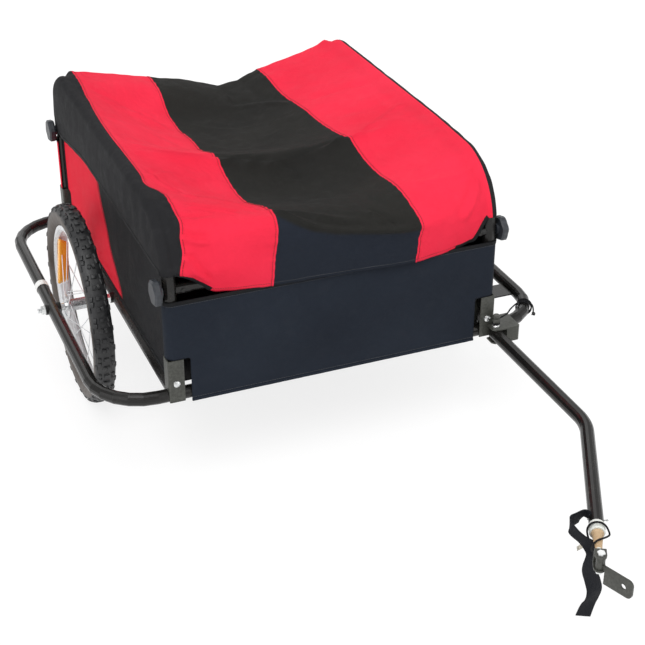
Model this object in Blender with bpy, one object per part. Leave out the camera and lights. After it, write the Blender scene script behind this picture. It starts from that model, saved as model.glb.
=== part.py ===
"""Two-wheeled cargo trailer for a bicycle, with a folding tube frame and fabric cover.

Metres, +Z up. The trailer faces -Y, its left side is +X, the floor is z = 0.
Everything is laid out from the middle of the axle line, heights too, and moved at
the end, so that the bottom centre of the whole trailer is the world origin.
"""
import math

import bmesh
import bpy
from mathutils import Matrix, Vector

# Fits and sheet thicknesses
GAP = 0.0003
CLOTH = 0.0016
PLATE = 0.0020
THICK_PLATE = 0.0030

# Base frame
TUBE_R = 0.0125
WHEEL_R = 0.203
SIDE_RAIL_X = 0.313
END_RAIL_Y = 0.395
GUARD_X = 0.4455
GUARD_BEND = 0.100
FLOOR_BAR_Y = 0.100
BOSS_R = 0.011
BOSS_LENGTH = 0.031
BRACE_Y = (-0.295, -0.250)
FLOOR_THICKNESS = 0.004

# Folding corners
BRACKET_TOP = 0.0775
BRACKET_FOOT = -0.009
BRACKET_DEPTH = 0.015
BRACKET_BEND = 0.0035
PIN_R = 0.004
PIN_HEAD_R = 0.007
PIN_Z = 0.0295

# Hoops, cross bars and knobs
HOOP_TOP = 0.3405
HOOP_SHOULDER = 0.3315
HOOP_DROP_Y = -0.160
HOOP_BOTTOM = 0.0155
HOOP_FRONT_BEND = 0.115
HOOP_REAR_BEND = 0.080
BAR_Z = 0.2135
BAR_R = 0.008
SLEEVE_R = 0.0095
SLEEVE_LENGTH = 0.024
STUD_R = 0.003
STUD_LENGTH = 0.050
KNOB_R = 0.025
KNOB_LOBE = 0.0025
KNOB_WIDTH = 0.014
KNOB_NECK = 0.0045

# Fabric box
PANEL_TOP = 0.1945
PANEL_BOTTOM = -0.013
PANEL_SLACK = 0.001
PANEL_NECK_X = 0.285
SIDE_PANEL_X = 0.315
SIDE_PANEL_TOP = 0.267
SIDE_NOTCH_Y = 0.355

# Cover
COVER_HEM = 0.2445
FLAP_HEM = 0.197
COVER_BEND = 0.050
HOOP_SIDES = 12
WRAP_STEP = 2 * math.pi / HOOP_SIDES

# Wheels
WHEEL_X = 0.390
TYRE_HALF = 0.0215
TREAD_DEPTH = 0.0028
RIM_BED_R = 0.1587
RIM_LIP = 0.0023
RIM_HALF = 0.0133
RIM_DEPTH = 0.0107
SPOKES = 20
SPOKE_R = 0.001
SPOKE_TANGENT = math.radians(72)
SPOKE_HUB_R = 0.0215
SPOKE_OUT = 0.0054
SPOKE_IN = -0.0025
HUB_HALF = 0.032
HUB_BARREL_R = 0.012
FLANGE_X = 0.026
FLANGE_R = 0.024
AXLE_R = 0.005
AXLE_TAIL = 0.0067
NUT_FLATS = 0.017
NUT_WIDTH = 0.008

# Towing gear
ARM_X = 0.3255
PIVOT_Y = -0.4238
ARM_BEND = Vector((0.326, -0.760, 0))
ARM_BEND_R = 0.055
ARM_ANGLE = math.radians(28)
ARM_REACH = 0.290
BUSH_R = 0.0075
BUSH_HEIGHT = 0.005
BRACKET_Y = (-0.436, -0.383)
BRACKET_X = (0.3145, 0.372)
WEB_X = 0.344
YOKE_S = 0.0755
HITCH_S = 0.0915
HITCH_YAW = math.radians(-20)
HITCH_LENGTH = 0.064
HITCH_Z = (-0.035, -0.002)
HITCH_PLATE = 0.004
HITCH_HOLE_R = 0.0052
STRAP_WIDTH = 0.026
STRAP_THICK = 0.0018
CORD_R = 0.0015

AXLE_Z = 0.0
RAIL_TOP = AXLE_Z + TUBE_R + GAP
RAIL_FOOT = AXLE_Z - TUBE_R - GAP
SADDLE_R = TUBE_R + GAP
TUBE_FACE = SIDE_RAIL_X + TUBE_R
WRAP_R = TUBE_R + GAP + CLOTH / 2
TOP_HALF = SIDE_RAIL_X - WRAP_R * math.sin(WRAP_STEP)
PANEL_SHOULDER = BRACKET_TOP + PANEL_SLACK
RIM_LIP_R = RIM_BED_R + RIM_LIP
RIM_INNER_R = RIM_BED_R - RIM_DEPTH
RIM_EDGE_R = RIM_BED_R - RIM_DEPTH / 2
NIPPLE_R = RIM_INNER_R + 0.003
AXLE_OUT = GUARD_X + BOSS_LENGTH / 2 + GAP + NUT_WIDTH + AXLE_TAIL
X_AXIS = Vector((1, 0, 0))
Y_AXIS = Vector((0, 1, 0))
Z_AXIS = Vector((0, 0, 1))

PAINTS = {
    "frame_black": ((0.012, 0.012, 0.013), 0.22, 0.0),
    "bracket_black": ((0.045, 0.045, 0.042), 0.45, 0.3),
    "zinc": ((0.62, 0.64, 0.66), 0.28, 1.0),
    "knob_plastic": ((0.050, 0.055, 0.065), 0.50, 0.0),
    "floor_grey": ((0.060, 0.060, 0.060), 0.70, 0.0),
    "navy_cloth": ((0.014, 0.018, 0.028), 0.85, 0.0),
    "red_cloth": ((0.740, 0.020, 0.045), 0.80, 0.0),
    "black_cloth": ((0.020, 0.021, 0.022), 0.85, 0.0),
    "tyre_rubber": ((0.018, 0.017, 0.016), 0.80, 0.0),
    "rim_white": ((0.720, 0.740, 0.760), 0.35, 0.0),
    "hub_steel": ((0.560, 0.570, 0.580), 0.30, 1.0),
    "amber_lens": ((0.850, 0.250, 0.010), 0.15, 0.0),
    "band_white": ((0.800, 0.800, 0.800), 0.35, 0.0),
    "rubber_tan": ((0.620, 0.400, 0.200), 0.55, 0.0),
    "nylon_white": ((0.760, 0.780, 0.740), 0.40, 0.0),
    "webbing_black": ((0.015, 0.016, 0.020), 0.90, 0.0),
    "cord_black": ((0.010, 0.010, 0.012), 0.80, 0.0),
}


# Small builders

def paint(slot):
    """Material of a slot, made on first use."""
    material = bpy.data.materials.get(slot)
    if material is None:
        colour, roughness, metallic = PAINTS[slot]
        material = bpy.data.materials.new(slot)
        material.use_nodes = True
        shader = material.node_tree.nodes["Principled BSDF"]
        shader.inputs["Base Color"].default_value = (*colour, 1.0)
        shader.inputs["Roughness"].default_value = roughness
        shader.inputs["Metallic"].default_value = metallic
    return material


def make(name, verts, faces, slot):
    """Object from raw points and faces, normals made to agree."""
    mesh = bpy.data.meshes.new(name)
    mesh.from_pydata([tuple(v) for v in verts], [], faces)
    shell = bmesh.new()
    shell.from_mesh(mesh)
    bmesh.ops.remove_doubles(shell, verts=shell.verts, dist=0.00002)
    bmesh.ops.recalc_face_normals(shell, faces=shell.faces)
    shell.to_mesh(mesh)
    shell.free()
    mesh.materials.append(paint(slot))
    obj = bpy.data.objects.new(name, mesh)
    bpy.context.scene.collection.objects.link(obj)
    return obj


def loft(name, rings, slot, closed=False):
    """Skin over rings of equal length, open ends capped."""
    count = len(rings[0])
    verts = [point for ring in rings for point in ring]
    faces = []
    pairs = len(rings) if closed else len(rings) - 1
    for a in range(pairs):
        b = (a + 1) % len(rings)
        for i in range(count):
            j = (i + 1) % count
            faces.append((a * count + i, a * count + j, b * count + j, b * count + i))
    if not closed:
        last = (len(rings) - 1) * count
        faces.append(tuple(reversed(range(count))))
        faces.append(tuple(last + i for i in range(count)))
    return make(name, verts, faces, slot)


def turned(name, centre, axis, profile, slot, steps=24, lobes=None):
    """Body turned about an axis from a closed loop of (along, radius) points."""
    axis = Vector(axis).normalized()
    side = axis.orthogonal().normalized()
    up = axis.cross(side)
    rings = []
    for k in range(steps):
        turn = 2 * math.pi * k / steps
        out = side * math.cos(turn) + up * math.sin(turn)
        ring = []
        for along, radius in profile:
            if lobes:
                radius = lobes(radius, turn)
            ring.append(Vector(centre) + axis * along + out * radius)
        rings.append(ring)
    return loft(name, rings, slot, closed=True)


def solid_turned(name, centre, axis, profile, slot, steps=24, lobes=None):
    """Solid turned body; the profile runs along the axis without its end centres."""
    axis = Vector(axis).normalized()
    side = axis.orthogonal().normalized()
    up = axis.cross(side)
    rings = []
    for along, radius in profile:
        ring = []
        for k in range(steps):
            turn = 2 * math.pi * k / steps
            out = side * math.cos(turn) + up * math.sin(turn)
            reach = lobes(radius, turn) if lobes else radius
            ring.append(Vector(centre) + axis * along + out * reach)
        rings.append(ring)
    return loft(name, rings, slot)


def rod(name, start, end, radius, slot="frame_black", steps=16):
    """Plain round bar between two points."""
    start = Vector(start)
    end = Vector(end)
    length = (end - start).length
    return solid_turned(name, start, end - start, [(0, radius), (length, radius)], slot, steps)


def drill(start, end, radius, steps=12):
    """Round cutter whose flats clear the radius by the gap."""
    return rod("drill", start, end, (radius + GAP) / math.cos(math.pi / steps), steps=steps)


def tube(name, path, radius, slot, sides=16):
    """Round tube along a path of points."""
    path = [Vector(p) for p in path]
    tangents = []
    for i in range(len(path)):
        before = path[max(i - 1, 0)]
        after = path[min(i + 1, len(path) - 1)]
        tangents.append((after - before).normalized())
    side = X_AXIS if abs(tangents[0].z) > 0.5 else Z_AXIS
    rings = []
    for point, tangent in zip(path, tangents):
        side = (side - tangent * side.dot(tangent)).normalized()
        up = tangent.cross(side)
        ring = []
        for k in range(sides):
            turn = 2 * math.pi * k / sides
            ring.append(point + (side * math.cos(turn) + up * math.sin(turn)) * radius)
        rings.append(ring)
    return loft(name, rings, slot)


def bent(corners, radii, steps):
    """Path through corners with an arc of its own radius at each inner one."""
    corners = [Vector(c) for c in corners]
    path = [corners[0]]
    for i, radius in enumerate(radii):
        here = corners[i + 1]
        back = (corners[i] - here).normalized()
        ahead = (corners[i + 2] - here).normalized()
        half = back.angle(ahead) / 2
        centre = here + (back + ahead).normalized() * (radius / math.sin(half))
        start = here + back * (radius / math.tan(half)) - centre
        end = here + ahead * (radius / math.tan(half)) - centre
        sweep = start.angle(end)
        for k in range(steps + 1):
            part = k / steps
            a = math.sin((1 - part) * sweep) / math.sin(sweep)
            b = math.sin(part * sweep) / math.sin(sweep)
            path.append(centre + start * a + end * b)
    path.append(corners[-1])
    return path


def prism(name, outline, low, high, slot, flat="z"):
    """Plate cut to an outline, thick from low to high along the flat axis."""
    place = {
        "x": lambda a, b, c: Vector((c, a, b)),
        "y": lambda a, b, c: Vector((a, c, b)),
        "z": lambda a, b, c: Vector((a, b, c)),
    }[flat]
    rings = [[place(a, b, level) for a, b in outline] for level in (low, high)]
    return loft(name, rings, slot)


def box(name, low, high, slot="frame_black"):
    """Plain cutter or plate between two corners."""
    outline = [(low[0], low[1]), (high[0], low[1]), (high[0], high[1]), (low[0], high[1])]
    return prism(name, outline, low[2], high[2], slot)


def rounded_outline(width, height, radius, steps=4):
    """Rectangle about the origin with rounded corners."""
    points = []
    for quarter, (sx, sy) in enumerate(((1, 1), (-1, 1), (-1, -1), (1, -1))):
        for k in range(steps + 1):
            turn = math.pi / 2 * (quarter + k / steps)
            points.append((sx * (width / 2 - radius) + radius * math.cos(turn),
                           sy * (height / 2 - radius) + radius * math.sin(turn)))
    return points


def hexagon(radius_flats, turn=0.0):
    """Corners of a hexagon given across its flats."""
    reach = radius_flats / 2 / math.cos(math.pi / 6)
    return [(reach * math.cos(math.pi / 3 * k + turn), reach * math.sin(math.pi / 3 * k + turn))
            for k in range(6)]


def bake(obj):
    """Keep what the modifiers make and drop them."""
    graph = bpy.context.evaluated_depsgraph_get()
    mesh = bpy.data.meshes.new_from_object(obj.evaluated_get(graph))
    obj.modifiers.clear()
    obj.data = mesh
    mesh.name = obj.name
    return obj


def combine(obj, others, operation):
    """Boolean with other bodies, which are used up."""
    for other in others:
        step = obj.modifiers.new(operation.lower(), "BOOLEAN")
        step.operation = operation
        step.solver = "EXACT"
        step.object = other
    bpy.context.view_layer.update()
    bake(obj)
    for other in others:
        bpy.data.objects.remove(other)
    return obj


def cut(obj, *others):
    return combine(obj, others, "DIFFERENCE")


def join(obj, *others):
    return combine(obj, others, "UNION")


def finish(obj, pivot=None, smooth=True, angle=34):
    """Shading, clean normals and the origin on the joint axis."""
    shell = bmesh.new()
    shell.from_mesh(obj.data)
    bmesh.ops.remove_doubles(shell, verts=shell.verts, dist=0.000015)
    bmesh.ops.dissolve_degenerate(shell, edges=shell.edges, dist=0.000005)
    bmesh.ops.recalc_face_normals(shell, faces=shell.faces)
    if shell.calc_volume(signed=True) < 0:
        bmesh.ops.reverse_faces(shell, faces=shell.faces)
    shell.to_mesh(obj.data)
    shell.free()
    obj.data.polygons.foreach_set("use_smooth", [smooth] * len(obj.data.polygons))
    if smooth:
        obj.data.set_sharp_from_angle(angle=math.radians(angle))
    if pivot is not None:
        obj.data.transform(Matrix.Translation(-Vector(pivot)))
        obj.location = Vector(pivot)
    return obj


def ease(value, low, high):
    """Smooth step from 0 at low to 1 at high."""
    part = min(max((value - low) / (high - low), 0.0), 1.0)
    return part * part * (3 - 2 * part)


def between(value, knots):
    """Eased curve through (position, height) knots."""
    if value <= knots[0][0]:
        return knots[0][1]
    for (a, low), (b, high) in zip(knots, knots[1:]):
        if value <= b:
            return low + (high - low) * ease(value, a, b)
    return knots[-1][1]


SIDES = (("right", -1), ("left", 1))
ENDS = (("front", -1), ("rear", 1))


# Base frame

def base_frame():
    for end, sy in ENDS:
        y = sy * END_RAIL_Y
        rail = rod(end + "_rail", (-TUBE_FACE, y, AXLE_Z), (TUBE_FACE, y, AXLE_Z), TUBE_R, steps=20)
        finish(rail)
    for side, sx in SIDES:
        side_rail(side, sx)
        wheel_guard(side, sx)
    bar = rod("floor_bar", (-SIDE_RAIL_X, FLOOR_BAR_Y, AXLE_Z),
              (SIDE_RAIL_X, FLOOR_BAR_Y, AXLE_Z), TUBE_R, steps=20)
    saddles = [drill((sx * SIDE_RAIL_X, FLOOR_BAR_Y - 0.05, AXLE_Z),
                     (sx * SIDE_RAIL_X, FLOOR_BAR_Y + 0.05, AXLE_Z), TUBE_R, 16)
               for _, sx in SIDES]
    finish(cut(bar, *saddles))
    brace_outline = [(TUBE_FACE + GAP, BRACE_Y[0]), (GUARD_X - TUBE_R - GAP, BRACE_Y[0]),
                     (GUARD_X - TUBE_R - GAP, BRACE_Y[1]), (TUBE_FACE + GAP, BRACE_Y[1])]
    finish(prism("side_brace", brace_outline, AXLE_Z - THICK_PLATE / 2,
                 AXLE_Z + THICK_PLATE / 2, "frame_black"), smooth=False)
    half_x = SIDE_RAIL_X + 0.0005
    half_y = END_RAIL_Y - TUBE_R - PLATE - 2 * GAP - 0.0005
    finish(box("floor_board", (-half_x, -half_y, RAIL_TOP),
               (half_x, half_y, RAIL_TOP + FLOOR_THICKNESS), "floor_grey"), smooth=False)
    band = turned("guard_band", (-GUARD_X, 0.085, AXLE_Z), Y_AXIS,
                  [(0, SADDLE_R), (0, TUBE_R + 0.0014), (0.018, TUBE_R + 0.0014), (0.018, SADDLE_R)],
                  "band_white", 20)
    finish(band)


def side_rail(side, sx):
    """Rail with saddle ends and a bored boss for the axle."""
    x = sx * SIDE_RAIL_X
    rail = rod("side_rail_" + side, (x, -END_RAIL_Y, AXLE_Z), (x, END_RAIL_Y, AXLE_Z), TUBE_R)
    boss = rod("boss", (x - BOSS_LENGTH / 2, 0, AXLE_Z), (x + BOSS_LENGTH / 2, 0, AXLE_Z), BOSS_R)
    join(rail, boss)
    saddles = [drill((x - 0.05, sy * END_RAIL_Y, AXLE_Z), (x + 0.05, sy * END_RAIL_Y, AXLE_Z),
                     TUBE_R, 16) for _, sy in ENDS]
    bore = drill((x - 0.05, 0, AXLE_Z), (x + 0.05, 0, AXLE_Z), AXLE_R)
    finish(cut(rail, *saddles, bore))


def wheel_guard(side, sx):
    """Bent tube outside the wheel, with its bored boss."""
    start = TUBE_FACE + GAP
    corners = [(sx * start, -END_RAIL_Y, AXLE_Z), (sx * GUARD_X, -END_RAIL_Y, AXLE_Z),
               (sx * GUARD_X, END_RAIL_Y, AXLE_Z), (sx * start, END_RAIL_Y, AXLE_Z)]
    guard = tube("wheel_guard_" + side, bent(corners, [GUARD_BEND] * 2, 6), TUBE_R, "frame_black", 16)
    x = sx * GUARD_X
    join(guard, rod("boss", (x - BOSS_LENGTH / 2, 0, AXLE_Z), (x + BOSS_LENGTH / 2, 0, AXLE_Z), BOSS_R))
    cut(guard, drill((x - 0.05, 0, AXLE_Z), (x + 0.05, 0, AXLE_Z), AXLE_R))
    finish(guard)


# Folding corners

def corner_bracket(name, sx, sy):
    """Bent plate channel, open to the inside, with one long flange at the end."""
    inner = SADDLE_R
    outer = inner + PLATE
    bend = BRACKET_BEND

    def corner(cx, cy, radius, turns):
        return [(cx + radius * math.cos(t), cy + radius * math.sin(t)) for t in turns]

    quarter = [math.pi / 2 * k / 3 for k in range(4)]
    outline = [(-BRACKET_DEPTH, outer)]
    outline += corner(outer - bend, outer - bend, bend, reversed(quarter))
    outline += corner(outer - bend, bend - outer, bend, [-t for t in quarter])
    outline += [(-BRACKET_DEPTH, -outer), (-BRACKET_DEPTH, -inner)]
    inside = bend - PLATE
    outline += corner(inner - inside, inside - inner, inside, [-t for t in reversed(quarter)])
    outline += corner(inner - inside, inner - inside, inside, quarter)
    outline += [(-BRACKET_DEPTH, inner)]
    x = SIDE_RAIL_X
    y = END_RAIL_Y
    plan = [(sx * (x + u), sy * (y + v)) for u, v in outline]
    plate = prism(name, plan, BRACKET_FOOT, BRACKET_TOP, "bracket_black")
    low = (sx * (x - 0.03), sy * (y - 0.03), BRACKET_FOOT - 0.01)
    high = (sx * (x + 0.03), sy * (y + inner - GAP / 3), RAIL_TOP)
    cut(plate,
        box("step", [min(a, b) for a, b in zip(low, high)], [max(a, b) for a, b in zip(low, high)]),
        drill((sx * x, sy * (y - 0.03), PIN_Z), (sx * x, sy * (y + 0.03), PIN_Z), PIN_R))
    finish(plate)


def hinge_pin(name, sx, sy):
    """Pin through bracket and hoop leg, domed at both ends."""
    face = SADDLE_R + PLATE + GAP
    rise = 0.004
    dome = [(0.0, 1.0), (0.5, 0.88), (1.0, 0.45)]
    profile = [(-face - rise * a, PIN_HEAD_R * b) for a, b in reversed(dome)]
    profile += [(-face, PIN_R), (face, PIN_R)]
    profile += [(face + rise * a, PIN_HEAD_R * b) for a, b in dome]
    centre = (sx * SIDE_RAIL_X, sy * END_RAIL_Y, PIN_Z)
    finish(solid_turned(name, centre, (0, sy, 0), profile, "zinc", 12))


def corners():
    for end, sy in ENDS:
        for side, sx in SIDES:
            corner_bracket("corner_bracket_" + end + "_" + side, sx, sy)
            hinge_pin("hinge_pin_" + end + "_" + side, sx, sy)


# Hoops, cross bars and knobs

def side_line(front_bend, rear_bend, bottom, steps):
    """Side view (y, z) of the hoop line, from front foot to rear foot."""
    y = END_RAIL_Y
    corners = [(0, -y, bottom), (0, -y, HOOP_SHOULDER), (0, HOOP_DROP_Y, HOOP_TOP),
               (0, y, HOOP_TOP), (0, y, bottom)]
    return [(p.y, p.z) for p in bent(corners, [front_bend, 0.6, rear_bend], steps)]


def even_points(line, count):
    """Points at equal steps along a line, both ends kept."""
    lengths = [0.0]
    for a, b in zip(line, line[1:]):
        lengths.append(lengths[-1] + math.dist(a, b))
    points = []
    i = 0
    for k in range(count + 1):
        target = lengths[-1] * k / count
        while i < len(line) - 2 and lengths[i + 1] < target:
            i += 1
        part = (target - lengths[i]) / (lengths[i + 1] - lengths[i])
        points.append(tuple(a + (b - a) * part for a, b in zip(line[i], line[i + 1])))
    return points


def stations_of(front_bend, rear_bend):
    """Stations of the side line above the cover hem, closer together in the bends."""
    line = side_line(front_bend, rear_bend, COVER_HEM - 0.2, 40)
    marks = [-END_RAIL_Y, -0.300, HOOP_DROP_Y, END_RAIL_Y - HOOP_REAR_BEND, END_RAIL_Y]
    above = [p for p in even_points(line, 900) if p[1] >= COVER_HEM]
    stations = []
    for low, high, count in zip(marks, marks[1:], (7, 2, 5, 6)):
        part = [p for p in above if low - 0.0002 <= p[0] <= high + 0.0012]
        stations += even_points(part, count)[:-1]
    stations.append(above[-1])
    stations[0] = (stations[0][0], COVER_HEM)
    stations[-1] = (stations[-1][0], COVER_HEM)
    return stations


def hoop_line():
    """The whole hoop: straight feet and the stations that the cover shares."""
    y = END_RAIL_Y
    below = COVER_HEM - 2 * TUBE_R
    front = [(-y, HOOP_BOTTOM), (-y, min(HOOP_SHOULDER - HOOP_FRONT_BEND, below))]
    rear = [(y, min(HOOP_TOP - HOOP_REAR_BEND, below)), (y, HOOP_BOTTOM)]
    return front + stations_of(HOOP_FRONT_BEND, HOOP_REAR_BEND) + rear


def hoops():
    line = hoop_line()
    for side, sx in SIDES:
        x = sx * SIDE_RAIL_X
        hoop = tube("side_hoop_" + side, [(x, y, z) for y, z in line], TUBE_R, "frame_black", HOOP_SIDES)
        holes = []
        for _, sy in ENDS:
            y = sy * END_RAIL_Y
            holes.append(drill((x, y - 0.03, PIN_Z), (x, y + 0.03, PIN_Z), PIN_R))
            holes.append(drill((x - 0.03, y, BAR_Z), (x + 0.03, y, BAR_Z), STUD_R, 8))
        finish(cut(hoop, *holes))


def cross_bar(end, sy):
    """Tube between the hoop legs; sleeved, saddled and tapped ends."""
    y = sy * END_RAIL_Y
    x = SIDE_RAIL_X
    bar = rod("cross_bar_" + end, (-x, y, BAR_Z), (x, y, BAR_Z), BAR_R, steps=12)
    sleeve_start = x - SADDLE_R - SLEEVE_LENGTH
    adds = []
    cuts = []
    for _, sx in SIDES:
        adds.append(rod("sleeve", (sx * sleeve_start, y, BAR_Z), (sx * x, y, BAR_Z), SLEEVE_R, steps=12))
        rivet = (sx * (x - SADDLE_R - 0.010), y, BAR_Z)
        adds.append(solid_turned("rivet", rivet, (0, sy, 0),
                                 [(0, 0.0045), (SLEEVE_R + 0.001, 0.0045), (SLEEVE_R + 0.002, 0.003)],
                                 "frame_black", 8))
        cuts.append(drill((sx * x, y, BAR_Z - 0.05), (sx * x, y, BAR_Z + 0.05), TUBE_R, 16))
        cuts.append(drill((sx * (TUBE_FACE - STUD_LENGTH - 0.002), y, BAR_Z),
                          (sx * (x + 0.02), y, BAR_Z), STUD_R, 8))
    join(bar, *adds)
    finish(cut(bar, *cuts))


def knob(name, sx, sy):
    """Six-lobed hand knob with its stud."""
    face = TUBE_FACE + 0.0007

    def lobes(radius, turn):
        if radius < KNOB_R / 2:
            return radius
        return radius - KNOB_LOBE * (1 - math.cos(6 * turn)) / 2

    body = KNOB_NECK + KNOB_WIDTH
    profile = [(-STUD_LENGTH, STUD_R), (0, STUD_R), (0, 0.010), (KNOB_NECK, 0.010),
               (KNOB_NECK, KNOB_R - 0.002), (KNOB_NECK + 0.003, KNOB_R),
               (body - 0.003, KNOB_R), (body, KNOB_R - 0.004)]
    centre = (sx * face, sy * END_RAIL_Y, BAR_Z)
    obj = solid_turned(name, centre, (sx, 0, 0), profile, "knob_plastic", 24, lobes)
    finish(obj, pivot=centre, angle=40)


def upper_frame():
    hoops()
    for end, sy in ENDS:
        cross_bar(end, sy)
        for side, sx in SIDES:
            knob("knob_" + end + "_" + side, sx, sy)


# Fabric

def fabric(name, grid, slot, angle=50):
    """Cloth of even thickness over a grid of points; None leaves a cell out."""
    verts = []
    index = {}
    for j, row in enumerate(grid):
        for i, point in enumerate(row):
            if point is not None:
                index[j, i] = len(verts)
                verts.append(point)
    faces = []
    for j in range(len(grid) - 1):
        for i in range(len(grid[0]) - 1):
            cell = [(j, i), (j, i + 1), (j + 1, i + 1), (j + 1, i)]
            if all(key in index for key in cell):
                faces.append(tuple(index[key] for key in cell))
    obj = make(name, verts, faces, slot)
    thicken = obj.modifiers.new("thicken", "SOLIDIFY")
    thicken.thickness = CLOTH
    thicken.offset = 0
    bpy.context.view_layer.update()
    bake(obj)
    return finish(obj, angle=angle)


def end_panel(end, sy, slot):
    """End panel, wide above the folding corners where it turns round the posts."""
    x = SIDE_RAIL_X
    y = END_RAIL_Y
    half = [(x + WRAP_R, y - 0.008), (x + WRAP_R, y)]
    half += [(x + WRAP_R * math.cos(t), y + WRAP_R * math.sin(t))
             for t in (math.pi / 6, math.pi / 3, math.pi / 2)]
    half += [(0.300, y + WRAP_R), (PANEL_NECK_X, y + WRAP_R)]
    half += [(across, y + WRAP_R) for across in (0.228, 0.171, 0.114, 0.057)]
    plan = [(-a, b) for a, b in half] + [(0.0, y + WRAP_R)] + [(a, b) for a, b in reversed(half)]
    levels = [PANEL_BOTTOM + (PANEL_SHOULDER - PANEL_BOTTOM) * part for part in (0, 0.22, 0.6)]
    levels += [PANEL_SHOULDER + (PANEL_TOP - PANEL_SHOULDER) * part for part in (0, 0.25, 0.5, 0.76, 1)]
    grid = []
    for z in levels:
        rise = (z - PANEL_BOTTOM) / (PANEL_TOP - PANEL_BOTTOM)
        row = []
        for across, depth in plan:
            inside = abs(across) <= PANEL_NECK_X + 0.001
            if z < PANEL_SHOULDER - 0.001 and not inside:
                row.append(None)
                continue
            belly = ease(rise, 0.07, 0.53) * (1 - ease(rise, 0.67, 0.96))
            belly *= 1 - ease(abs(across), 0.10, 0.29)
            ripple = 0.0012 * math.sin(23 * across + 31 * z) * (1 - ease(abs(across), 0.20, 0.28))
            ripple *= ease(rise, 0.12, 0.29) * (1 - ease(rise, 0.77, 0.96))
            row.append((across, sy * (depth + 0.0040 * belly + ripple), z))
        grid.append(row)
    fabric(end + "_panel", grid, slot)


def post_edge(z, shoulder, bend):
    """Inner edge of a hoop leg at a height, with room for the cloth."""
    rise = max(z - (shoulder - bend), 0.0)
    return END_RAIL_Y - bend + math.sqrt((bend - TUBE_R - 0.0014) ** 2 - rise * rise)


def side_panel(side, sx):
    """Side panel between the posts, notched round the folding corners."""
    stops = [SIDE_NOTCH_Y * part / 5 for part in (5, 4, 3, 2, 1)]
    foot = RAIL_TOP + PANEL_SLACK
    shoulder = PANEL_SHOULDER + CLOTH
    levels = [foot, (foot + shoulder) / 2]
    levels += [shoulder + (SIDE_PANEL_TOP - shoulder) * part / 4 for part in range(5)]
    grid = []
    for z in levels:
        front = post_edge(z, HOOP_SHOULDER, HOOP_FRONT_BEND)
        rear = post_edge(z, HOOP_TOP, HOOP_REAR_BEND)
        row = []
        for along in [-front] + [-a for a in stops] + [0.0] + stops[::-1] + [rear]:
            if z < shoulder - 0.0001 and abs(along) > SIDE_NOTCH_Y + 0.0001:
                row.append(None)
                continue
            rise = (z - foot) / (SIDE_PANEL_TOP - foot)
            belly = ease(rise, 0.06, 0.45) * (1 - ease(rise, 0.60, 0.92))
            belly *= 1 - ease(abs(along), 0.12, 0.36)
            row.append((sx * (SIDE_PANEL_X + 0.0045 * belly), along, z))
        grid.append(row)
    fabric("side_panel_" + side, grid, "black_cloth")


def hem_height(x, sy):
    """Lower edge of the end flaps: level in the middle, cut away at the corners."""
    level = FLAP_HEM
    if sy < 0:
        level = between(x, [(-0.255, level + 0.004), (-0.124, level - 0.008),
                            (0.152, level - 0.017), (0.265, level - 0.008)])
    return level + (COVER_HEM - level) * ease(abs(x), 0.235, 0.306)


def sag(x, y):
    """How far the cover hangs below the side hoops."""
    depth = between(y, [(-0.400, 0.022), (-0.355, 0.042), (-0.235, 0.074), (-0.100, 0.050),
                        (0.060, 0.076), (0.220, 0.090), (0.345, 0.084)])
    fold = 0.045 * ease(y, 0.0, 0.30)
    reach = TOP_HALF + (fold if x < fold else -fold)
    part = min(abs(x - fold) / reach, 1.0)
    bowl = 1 - part * part
    tent = max(1 - part, 0.0) ** 1.1
    return depth * (bowl + (tent - bowl) * ease(y, 0.18, 0.34))


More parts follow.
